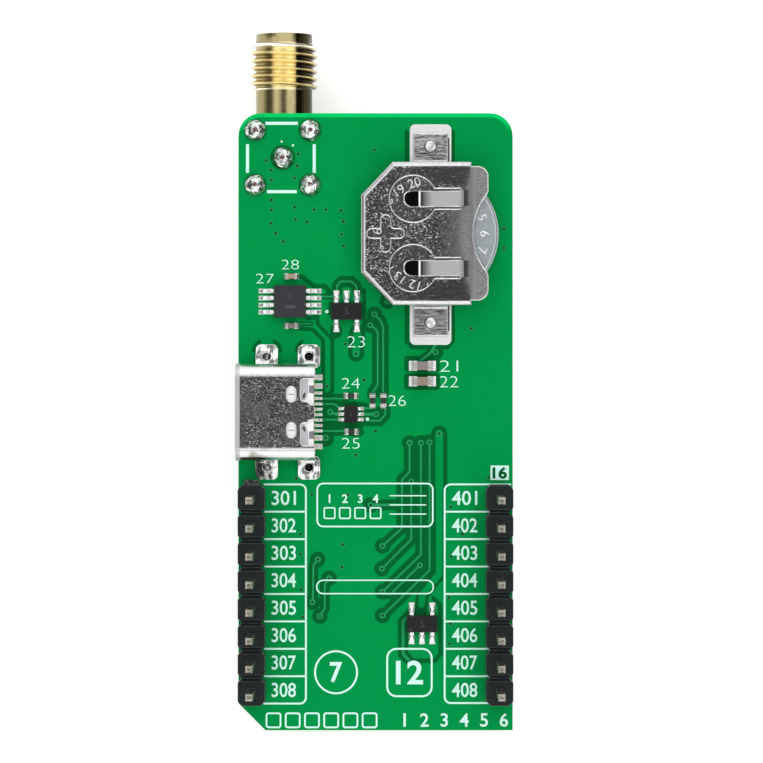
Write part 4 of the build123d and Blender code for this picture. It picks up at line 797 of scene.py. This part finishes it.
def frame_line(side, inner, outer, top, bottom, first_row, row_end):
    """The table beside one header: a frame with a round inner corner, open towards the pins, and its row lines."""
    radius = 0.55
    bend = [(inner - side * radius * (1 - math.sin(math.pi / 2 * k / 5)),
             top - radius * (1 - math.cos(math.pi / 2 * k / 5))) for k in range(6)]
    low_bend = [(x, bottom + (top - y)) for x, y in reversed(bend)]
    ink.put(ribbon([(outer, top), *bend, *low_bend, (row_end, bottom)], LINE), PRINT_HEIGHT)
    for k in range(7):
        y = first_row - ROW_PITCH * k
        ink.put(ribbon([(row_end, y), (inner, y)], LINE, round_ends=False), PRINT_HEIGHT)


frame_line(1, -6.45, -10.3, -5.8, -26.1, -8.33, -10.3)
frame_line(-1, 6.4, 12.5, -5.8, -26.05, -8.33, 10.6)
for k in range(8):
    ink.put(words(str(k + 301), (-8.5, -7.06 - ROW_PITCH * k), 2.25, 1.33, 0.01), PRINT_HEIGHT)
    ink.put(words(str(k + 401), (8.25, -7.06 - ROW_PITCH * k), 2.35, 1.33, 0.01), PRINT_HEIGHT)
ink.put(bar((10.65, -5.4), (12.35, -4.05)), PRINT_HEIGHT)
for low, high in (((-10.2, 27.5), (-7.2, 27.78)), ((-10.05, 21.17), (-7.3, 21.45)),
                  ((-12.0, 23.05), (-11.72, 25.7)), ((-5.82, 23.05), (-5.54, 25.7))):
    ink.put(bar(low, high), PRINT_HEIGHT)


# Beside each chip a plain number: the number, its middle, its width and its height
for number, x, y, width, height in (
        (21, 6.8, 5.15, 1.7, 1.05), (22, 6.8, 3.7, 1.7, 1.05), (23, -1.8, 7.4, 1.6, 1.05),
        (24, -2.3, 3.55, 1.65, 1.0), (25, -2.3, -2.0, 1.65, 1.0), (26, 2.0, 1.95, 1.6, 1.0),
        (27, -10.25, 13.25, 1.65, 0.9), (28, -7.9, 14.55, 1.6, 0.9)):
    ink.put(words(str(number), (x, y), width, height, -0.018), PRINT_HEIGHT)
for x, y, radius in ((-4.5, 10.2, 0.17), (-0.75, 0.25, 0.15), (-8.7, 25.95, 0.10), (-7.65, 25.6, 0.10)):
    ink.put(disc((x, y), radius, 12), PRINT_HEIGHT)

# Plain forms: boxes to write in, a numbered ring and rows of figures
BOX_LINE = 0.15
ink.put(ribbon(rounded_box((-5.40, -9.70), (5.30, -5.72), 0.55), BOX_LINE, closed=True), PRINT_HEIGHT)
for k in range(4):
    x = -4.75 + 1.42 * k
    ink.put(ribbon(rounded_box((x, -8.95), (x + 0.98, -7.97), 0.12), 0.13, closed=True), PRINT_HEIGHT)
    ink.put(words(str(k + 1), (x + 0.49, -7.12), None, 0.8, 0.02), PRINT_HEIGHT)
for y in (-6.85, -7.70, -8.55):
    ink.put(ribbon([(1.35, y), (4.65, y)], 0.11), PRINT_HEIGHT)
ink.put(ribbon(rounded_box((-5.45, -15.92), (5.35, -14.68), 0.6), 0.12, closed=True), PRINT_HEIGHT)
ink.put(ring((-3.66, -23.2), 1.95, 0.17, 40), PRINT_HEIGHT)
ink.put(words("7", (-3.66, -23.2), 1.15, 1.9, 0.02), PRINT_HEIGHT)
ink.put(ribbon(rounded_box((1.08, -25.42), (5.20, -21.03), 0.85), 0.17, closed=True), PRINT_HEIGHT)
ink.put(words("12", (3.14, -23.22), 2.5, 2.2, 0.02), PRINT_HEIGHT)
for k in range(6):
    x = -10.1 + 1.78 * k
    ink.put(ribbon(rounded_box((x, -28.30), (x + 1.3, -27.0), 0.2), 0.16, closed=True), PRINT_HEIGHT)
    ink.put(words(str(k + 1), (2.69 + 1.84 * k, -27.62), None, 1.25, 0.012), PRINT_HEIGHT)
ink.piece("pin_side_print", PRINT, "board")

# The number in the white box is the board colour showing through, so it is a second, thin layer
knockout = Layer()
knockout.put(words("16", (11.5, -4.73), 1.35, 1.08, 0.035), PRINT_HEIGHT + 0.012)
knockout.piece("pin_side_box_number", CLEARANCE, "board")

# A dial of plain numbers etched round the top of the cell
CELL_TOP = 2.1
etching = Layer()
for k in range(20):
    angle = math.radians(90 - 18 * k)
    at = (CELL_AT[0] + 4.95 * math.cos(angle), CELL_AT[1] + 4.95 * math.sin(angle))
    etching.put(words(str(k + 1), at, None, 0.85, 0.0, angle - math.pi / 2), CELL_TOP + 0.006, 0.02 - CELL_TOP)
etching.piece("cell_dial_numbers", brushed("etched_steel", (0.80, 0.83, 0.85), (0.92, 0.94, 0.95), 0.5, (2, 2, 2)),
              "cell_metal")


def solids_of(node):
    """The lowest and highest corner of each solid of a CAD node, in board millimetres."""
    mesh = frame["nodes"][node].data
    group = list(range(len(mesh.vertices)))

    def leader(i):
        while group[i] != i:
            group[i] = group[group[i]]
            i = group[i]
        return i

    places = [BOARD_MM.inverted() @ vertex.co for vertex in mesh.vertices]
    same = {}
    for i, place in enumerate(places):
        key = tuple(round(c, 3) for c in place)
        group[leader(i)] = leader(same.setdefault(key, i))
    for edge in mesh.edges:
        group[leader(edge.vertices[0])] = leader(edge.vertices[1])
    boxes = {}
    for i, place in enumerate(places):
        boxes.setdefault(leader(i), []).append(place)
    return [(Vector(map(min, zip(*items))), Vector(map(max, zip(*items)))) for _, items in sorted(boxes.items())]


# A faint plain figure on each chip, and a bar on the largest
marks = Layer()
for node, figure, height in (("power_chip_body", "8", 0.6), ("regulator_body", "5", 0.6),
                             ("lower_regulator_body", "5", 0.6), ("surge_guard_body", "6", 0.4)):
    low, high = solids_of(node)[0]
    centre = (low + high) / 2
    lift = 0.45 if node == "power_chip_body" else 0.0
    marks.put(words(figure, (centre.x, centre.y + lift), None, height, -0.01), high.z + 0.004, 0.02 - high.z)
    if lift:
        marks.put(bar((centre.x - 0.5, centre.y - 0.65), (centre.x + 0.5, centre.y - 0.35)), high.z + 0.004, 0.02 - high.z)
low, high = solids_of("lower_regulator_body")[0]
marks.put(disc((low.x + 0.35, low.y + 0.3), 0.09, 12), high.z + 0.004, 0.02 - high.z)
marks.piece("chip_numbers", moulded("chip_marking", (0.040, 0.042, 0.045), (0.055, 0.057, 0.060), 0.55), "chip_black")

# The far side, in its own coordinates: X counts the other way there
FAR_JACK = (-JACK_AT[0], JACK_AT[1])
RECEIVER = ((-7.6, -2.0), (4.6, 14.0))
ROW_X = 11.43
FIRST_PIN_Y = -7.06
far_gaps, far_traces, far_vias, far_holes, far_ink = (Layer(far=True) for _ in range(5))
far_paths = [
    ([(5.3, 12.5), (6.4, 12.5)], 0.3, 0.8),
    ([(7.3, 12.5), (8.6, 13.8), (8.6, 21.2)], 0.6, 1.5),
    ([(1.5, 17.7), (1.5, 14.8)], 0.25, 0.7),
    ([(-4.5, 17.7), (-4.5, 14.8)], 0.25, 0.7),
    ([(-8.2, 11.5), (-9.6, 12.9), (-9.6, 19.4), (-8.8, 20.2), (-5.6, 20.2)], 0.25, 0.7),
]
for k in range(4):
    y, column, row = 8.0 - 1.5 * k, 9.7 - 0.8 * k, FIRST_PIN_Y - ROW_PITCH * k
    far_paths.append(([(5.2, y), (column - 0.5, y), (column, y - 0.5), (column, row + 0.5), (column + 0.5, row),
                       (10.5, row)], 0.25, 0.75))
for k in range(3):
    y, column, row = 1.0 - 1.2 * k, -9.7 + 0.8 * k, FIRST_PIN_Y - ROW_PITCH * (k + 1)
    far_paths.append(([(-8.2, y), (column + 0.5, y), (column, y - 0.5), (column, row + 0.5), (column - 0.5, row),
                       (-10.5, row)], 0.25, 0.75))
for k in range(5):
    x = -3.5 + 2.5 * k
    far_paths.append(([(x, -9.6), (x, -11.0), (x + 0.6, -11.6), (x + 0.6, -12.6)], 0.25, 0.75))
    far_paths.append(([(x, -8.4), (x, -7.2)], 0.25, 0.75))
for path, trace_width, gap_width in far_paths:
    far_gaps.put(ribbon(path, gap_width), GAP_HEIGHT)
    far_traces.put(ribbon(path, trace_width), TRACE_HEIGHT)


def free_on_far_side(x, y):
    """True where no part of the far side stands over a via."""
    under_receiver = RECEIVER[0][0] - 0.8 < x < RECEIVER[1][0] + 0.8 and RECEIVER[0][1] - 0.8 < y < RECEIVER[1][1] + 0.8
    under_jack = abs(x - FAR_JACK[0]) < 3.6 and abs(y - FAR_JACK[1]) < 3.6
    under_lamps = abs(y - 19.2) < 1.6 and -6.5 < x < 3.5
    near_row = abs(x) > 8.0 and y < -5.5
    near_chips = -10.5 < y < -7.0 or abs(y + 4.5) < 0.9 or abs(y + 14.5) < 0.9
    return not (under_receiver or under_jack or under_lamps or near_row or near_chips)


for x, y in RINGED_VIAS + PLAIN_VIAS:
    if free_on_far_side(-x, y):
        far_vias.put(ring((-x, y), 0.20, 0.12), 0.035)
        far_holes.put(disc((-x, y), 0.12, 12), 0.04)
far_ink.put(ribbon(rounded_box((-8.6, -3.0), (5.6, 15.0), 0.3), LINE, closed=True), PRINT_HEIGHT)
far_ink.put(disc((-8.0, 15.6), 0.3), PRINT_HEIGHT)
for x in (FAR_JACK[0] - 3.6, FAR_JACK[0] + 3.6):
    far_ink.put(ribbon([(x, FAR_JACK[1] - 3.3), (x, FAR_JACK[1] + 3.3)], LINE), PRINT_HEIGHT)
far_ink.put(ribbon([(FAR_JACK[0] - 3.3, FAR_JACK[1] - 3.6), (FAR_JACK[0] + 3.3, FAR_JACK[1] - 3.6)], LINE), PRINT_HEIGHT)
for k in range(8):
    y = FIRST_PIN_Y - ROW_PITCH * k
    far_ink.put(words(str(k + 301), (8.6, y), 1.9, 1.1, 0.01), PRINT_HEIGHT)
    far_ink.put(words(str(k + 401), (-8.6, y), 1.9, 1.1, 0.01), PRINT_HEIGHT)
far_labels = [(31 + k, -3.5 + 2.5 * k - 1.1, -9.0) for k in range(5)]
far_labels += [(36, 3.9, 18.2), (37, -7.0, 18.2), (38, 3.9, 20.2), (39, -7.3, 21.6), (40, 5.2, -13.4)]
far_labels += [(41, -11.2, 9.5), (42, -11.2, 6.5), (43, -11.2, 3.5), (44, 8.2, 11.2), (45, 0.0, -5.7), (46, 3.0, -5.7)]
for number, x, y in far_labels:
    far_ink.put(words(str(number), (x, y), None, 0.85, -0.01), PRINT_HEIGHT)
far_ink.put(ribbon(rounded_box((-4.6, -26.2), (5.4, -17.2), 0.8), LINE, closed=True), PRINT_HEIGHT)
for k in range(3):
    y = -19.4 - 2.3 * k
    far_ink.put(words(str(k + 1), (-3.2, y), None, 1.3, 0.01), PRINT_HEIGHT)
    far_ink.put(ribbon([(-1.8, y - 0.6), (4.4, y - 0.6)], LINE), PRINT_HEIGHT)
far_gaps.piece("far_side_gaps", CLEARANCE, "board")
far_traces.piece("far_side_traces", TRACE, "board")
far_vias.piece("far_side_vias", TRACE, "board")
far_holes.piece("far_side_via_holes", VIA_HOLE, "board")
far_ink.piece("far_side_print", PRINT, "board")


class Mounds:
    """Solder frozen round the ends of chips and leads: low hollow-sided mounds."""
    LEVELS = 5

    def __init__(self):
        self.points, self.faces = [], []

    def put(self, foot, top, low, high, swell=2.2):
        """foot and top are (X, Y, X, Y) boxes at the two heights. The sides are hollow as solder's are."""
        rings = []
        for step in range(self.LEVELS + 1):
            t = step / self.LEVELS
            box = [a + (b - a) * t for a, b in zip(foot, top)]
            across = min(box[2] - box[0], box[3] - box[1])
            outline = rounded_box(box[:2], box[2:], across * 0.3, 3)
            rings.append([(x, y, low + (high - low) * t ** swell) for x, y in outline])
        base, size = len(self.points), len(rings[0])
        self.points += [point for level in rings for point in level]
        for level in range(self.LEVELS):
            for k in range(size):
                a, b = base + level * size + k, base + level * size + (k + 1) % size
                self.faces.append([a, b, b + size, a + size])
        self.faces.append(list(range(base, base + size))[::-1])
        self.faces.append(list(range(base + self.LEVELS * size, base + (self.LEVELS + 1) * size)))


def middle(box):
    return (box[0] + box[1]) / 2


def dress_chips(mounds, bodies, ends, height):
    """Solder up the outer face of each chip's plated end."""
    for low, high in solids_of(ends):
        centre = middle((low, high))
        body = min(solids_of(bodies), key=lambda item: (middle(item) - centre).length)
        out = centre - middle(body)
        axis = 0 if abs(out.x) > abs(out.y) else 1
        hand = 1 if out[axis] > 0 else -1
        face = high[axis] if hand > 0 else low[axis]
        other = 1 - axis
        foot, top = [0] * 4, [0] * 4
        for box, reach, inset in ((foot, 0.22, -0.02), (top, 0.03, 0.04)):
            ends_at = sorted((face - hand * 0.08, face + hand * reach))
            box[axis], box[axis + 2] = ends_at
            box[other], box[other + 2] = low[other] + inset, high[other] - inset
        near, far = sorted((abs(low.z), abs(high.z)))
        mounds.put(foot, top, PAD, near + (far - near) * height)


def dress_leads(mounds, bodies, leads, width, length, height):
    """Solder over the foot of each lead, spread onto its pad."""
    for low, high in solids_of(leads):
        centre = middle((low, high))
        body = min(solids_of(bodies), key=lambda item: (middle(item) - centre).length)
        out = centre - middle(body)
        axis = 0 if abs(high.x - low.x) > abs(high.y - low.y) else 1
        hand = 1 if out[axis] > 0 else -1
        toe = high[axis] if hand > 0 else low[axis]
        other = 1 - axis
        foot, top = [0] * 4, [0] * 4
        for box, spread, reach, start in ((foot, width, 0.42, length), (top, high[other] - low[other], 0.02, 0.3)):
            box[axis], box[axis + 2] = sorted((toe - hand * start, toe + hand * reach))
            box[other], box[other + 2] = centre[other] - spread / 2, centre[other] + spread / 2
        mounds.put(foot, top, PAD, height, 1.6)


PAD = 0.045
mounds = Mounds()
dress_chips(mounds, "resistor_bodies", "resistor_ends", 0.8)
dress_chips(mounds, "small_capacitor_bodies", "small_capacitor_ends", 0.7)
dress_chips(mounds, "large_capacitor_bodies", "large_capacitor_ends", 0.6)
dress_leads(mounds, "power_chip_body", "power_chip_leads", 0.38, 0.5, 0.24)
dress_leads(mounds, "regulator_body", "regulator_leads", 0.52, 0.4, 0.24)
dress_leads(mounds, "lower_regulator_body", "lower_regulator_leads", 0.52, 0.4, 0.24)
dress_leads(mounds, "surge_guard_body", "surge_guard_leads", 0.27, 0.15, 0.2)
solid("pin_side_solder_fillets", mounds.points, mounds.faces, solder("fillet_solder", 0.28, 3, 0.03),
      smooth=True)

# Marks in the socket: the seams behind its latch windows, and painted shade on the moulding seen through the rear
# notches
CORE_TOP = 2.94
TAB = ((-6.17, 3.02), (-6.7, 3.02), (-6.8, 2.94), (-6.84, 2.8), (-6.84, 1.3), (-6.78, 1.15), (-6.68, 1.08),
       (-6.5, 1.12), (-6.3, 1.38), (-6.19, 1.7), (-6.17, 2.0))
TAB_END = ((-5.64, 2.45), (-6.1, 2.45), (-6.1, 1.78), (-5.64, 1.72))
SLOT = ((-6.44, 1.5), (-6.44, 1.8), (-6.55, 1.78), (-6.68, 1.52), (-6.69, 1.33), (-6.54, 1.29))
seams, slot_shade, shoulder_shade, stop_shade = Layer(), Layer(), Layer(), Layer()
for hand in (-1, 1):
    seams.put(bar((-7.98, SOCKET_Y + hand * 1.65 - 0.03), (-7.48, SOCKET_Y + hand * 1.65 + 0.03)), CORE_TOP + 0.01,
              1 - CORE_TOP)
    for outline, layer, lift in ((TAB, shoulder_shade, 0.01), (TAB_END, stop_shade, 0.02), (SLOT, slot_shade, 0.02)):
        shape = [Vector((x, SOCKET_Y + hand * y)) for x, y in outline][::hand]
        layer.put((shape, [list(range(len(shape)))]), CORE_TOP + lift, 1 - CORE_TOP)
seams.piece("usb_window_seams", VIA_HOLE, "insulator")
# Painted shade: grey and dim plates and dark slots on the core's top, in place of shade in its recesses.
shoulder_shade.piece("usb_core_shoulder_shade", moulded("grey_painted_shade", (0.40, 0.41, 0.44), (0.48, 0.49, 0.52), 0.4), "insulator")
stop_shade.piece("usb_core_stop_shade", moulded("dim_painted_shade", (0.13, 0.13, 0.15), (0.22, 0.22, 0.25), 0.4), "insulator")
slot_shade.piece("usb_core_slot_shade", LOOKS["resistor_body"], "insulator")


# The antenna jack's barrel, with its real helical thread in place of the CAD's plain cylinder
def lathe_thread():
    """Points and faces of the barrel about its own axis: X and Z across it, Y along it."""
    around, per_turn, pitch = 96, 14, 0.7056
    start, end = 31.035, 35.435
    shank, crest, root = 2.65, 3.175, 2.66
    flats = [(0.0, root), (0.08, root), (0.47, crest), (0.53, crest), (0.92, root)]

    def profile(phase):
        for (a, ra), (b, rb) in zip(flats, flats[1:] + [(1.0, root)]):
            if phase <= b:
                return ra + (rb - ra) * (phase - a) / max(b - a, 1e-9)
        return root

    rows = int((end - start) / pitch * per_turn) + per_turn + 2
    points, faces, index = [], [], {}

    def vertex(i, j):
        """Step i around, row j along the helix. A whole turn steps one pitch along."""
        i, j = (i - around, j + per_turn) if i >= around else (i, j)
        y = start + (j + per_turn * i / around - per_turn) * pitch / per_turn
        clamped = min(max(y, start), end)
        radius = min(profile(j % per_turn / per_turn), 2.7 + (clamped - start) * 1.6, 2.75 + (end - clamped) * 1.05)
        radius = shank if clamped != y else max(radius, shank)
        key = (i, round(clamped, 6), round(radius, 5))
        if key not in index:
            angle = 2 * math.pi * i / around
            index[key] = len(points)
            points.append((radius * math.cos(angle), clamped, radius * math.sin(angle)))
        return index[key]

    for i in range(around):
        for j in range(rows):
            corners = [vertex(i, j), vertex(i, j + 1), vertex(i + 1, j + 1), vertex(i + 1, j)]
            face = [c for k, c in enumerate(corners) if c != corners[k - 1]]
            if len(set(face)) > 2:
                faces.append(face)

    def loop(y, radius):
        return [vertex_at(i, y, radius) for i in range(around)]

    def vertex_at(i, y, radius):
        key = (i, round(y, 6), round(radius, 5))
        if key not in index:
            angle = 2 * math.pi * i / around
            index[key] = len(points)
            points.append((radius * math.cos(angle), y, radius * math.sin(angle)))
        return index[key]

    mouth = 36.305
    front = [(end, shank), (mouth - 0.06, shank), (mouth - 0.02, shank - 0.02), (mouth, shank - 0.06),
             (mouth, 2.42), (mouth - 0.04, 2.34), (mouth - 0.12, 2.3), (mouth - 1.95, 2.3), (mouth - 1.95, 2.05),
             (26.635, 2.05), (26.635, shank), (27.64, shank), (29.3, shank), (start - 0.02, shank), (start, shank)]
    for (y0, r0), (y1, r1) in zip(front, front[1:]):
        a, b = loop(y0, r0), loop(y1, r1)
        for i in range(around):
            k = (i + 1) % around
            faces.append([a[i], b[i], b[k], a[k]])
    return points, faces


points, faces = lathe_thread()
barrel = solid("antenna_jack_threaded_barrel", points, faces, turned_gold(),
               Matrix.Translation((THREAD_AT.x, 0, THREAD_AT.z)), smooth=True)
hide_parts("antenna_jack_barrel")

# Floor, light and camera
def floor_material():
    s = Shade("pale_floor")
    plain = s.add("ShaderNodeBsdfDiffuse")
    plain.inputs["Color"].default_value = (0.8, 0.8, 0.8, 1)
    seen = s.add("ShaderNodeLightPath")
    direct = s.math("MAXIMUM", seen.outputs["Is Camera Ray"],
                    s.math("MAXIMUM", seen.outputs["Is Glossy Ray"], seen.outputs["Is Transmission Ray"]))
    lift = s.add("ShaderNodeEmission")
    s.feed(s.math("MULTIPLY", direct, 0.45), lift.inputs["Strength"])
    total = s.add("ShaderNodeAddShader")
    s.link(plain.outputs[0], total.inputs[0])
    s.link(lift.outputs[0], total.inputs[1])
    s.link(total.outputs[0], s.output.inputs["Surface"])
    return s.material


floor_mesh = bpy.data.meshes.new("floor")
REACH = 3.0
floor_mesh.from_pydata([(-REACH, -REACH, 0), (REACH, -REACH, 0), (REACH, REACH, 0), (-REACH, REACH, 0)], [],
                       [[0, 1, 2, 3]])
floor_mesh.materials.append(floor_material())
floor = bpy.data.objects.new("floor", floor_mesh)
bpy.context.scene.collection.objects.link(floor)

scene = bpy.context.scene
world = bpy.data.worlds.new("studio")
world.use_nodes = True
scene.world = world
tree = world.node_tree
tree.nodes.clear()
backdrop = tree.nodes.new("ShaderNodeBackground")
result = tree.nodes.new("ShaderNodeOutputWorld")
tree.links.new(backdrop.outputs[0], result.inputs[0])
direction = tree.nodes.new("ShaderNodeTexCoord")
height = tree.nodes.new("ShaderNodeVectorMath")
height.operation = "DOT_PRODUCT"
height.inputs[1].default_value = BOARD_UP
tree.links.new(direction.outputs["Generated"], height.inputs[0])


def ramp(stops):
    """A grey ramp over how far a direction is from the board's normal, in degrees."""
    node = tree.nodes.new("ShaderNodeValToRGB")
    stops = sorted((math.cos(math.radians(angle)), grey) for angle, grey in stops)
    while len(node.color_ramp.elements) < len(stops):
        node.color_ramp.elements.new(0.5)
    for element, (where, grey) in zip(node.color_ramp.elements, stops):
        element.position = where
        element.color = (grey, grey, grey, 1)
    tree.links.new(height.outputs["Value"], node.inputs[0])
    return node.outputs[0]


def world_mix(value, low, high, first, second):
    """Goes from one ramp to another as a value goes from low to high."""
    blend = tree.nodes.new("ShaderNodeMapRange")
    blend.inputs["From Min"].default_value = low
    blend.inputs["From Max"].default_value = high
    tree.links.new(value, blend.inputs["Value"])
    node = tree.nodes.new("ShaderNodeMix")
    node.data_type = "RGBA"
    tree.links.new(blend.outputs[0], node.inputs[0])
    tree.links.new(first, node.inputs[6])
    tree.links.new(second, node.inputs[7])
    return node.outputs[2]


# A soft ring of light above the part, dark in its middle where the camera stands, with dim sides and bright ends
STRENGTH = 1.62
left = ramp([(0, 0.03), (9, 0.035), (14, 0.4), (19, 0.5), (25, 1), (38, 1), (47, 0.14), (74, 0.10), (82, 0.45)])
right = ramp([(0, 0.03), (9, 0.035), (15, 1.0), (44, 1.0), (51, 0.05), (74, 0.05), (82, 0.40), (90, 0.40)])
ends = ramp([(0, 0.03), (9, 0.035), (15, 1.0), (60, 1.0), (90, 0.70)])
across = tree.nodes.new("ShaderNodeSeparateXYZ")
tree.links.new(direction.outputs["Generated"], across.inputs[0])
squares = []
for axis in "XY":
    square = tree.nodes.new("ShaderNodeMath")
    square.operation = "MULTIPLY"
    tree.links.new(across.outputs[axis], square.inputs[0])
    tree.links.new(across.outputs[axis], square.inputs[1])
    squares.append(square.outputs[0])
lengthwise = tree.nodes.new("ShaderNodeMath")
lengthwise.operation = "SUBTRACT"
tree.links.new(squares[1], lengthwise.inputs[0])
tree.links.new(squares[0], lengthwise.inputs[1])
beside = world_mix(across.outputs["X"], -0.2, 0.2, left, right)
tree.links.new(world_mix(lengthwise.outputs[0], -0.15, 0.15, beside, ends), backdrop.inputs["Color"])
backdrop.inputs["Strength"].default_value = STRENGTH

camera_data = bpy.data.cameras.new("camera")
camera_data.sensor_width = 36
camera_data.lens = 173.2
camera_data.clip_start = 0.01
camera_data.clip_end = 20
camera = bpy.data.objects.new("camera", camera_data)
scene.collection.objects.link(camera)
camera.matrix_world = BOARD @ Matrix.Translation(Vector((0.551, 3.727, 340)) * MM)
scene.camera = camera
scene.view_settings.view_transform = "Standard"
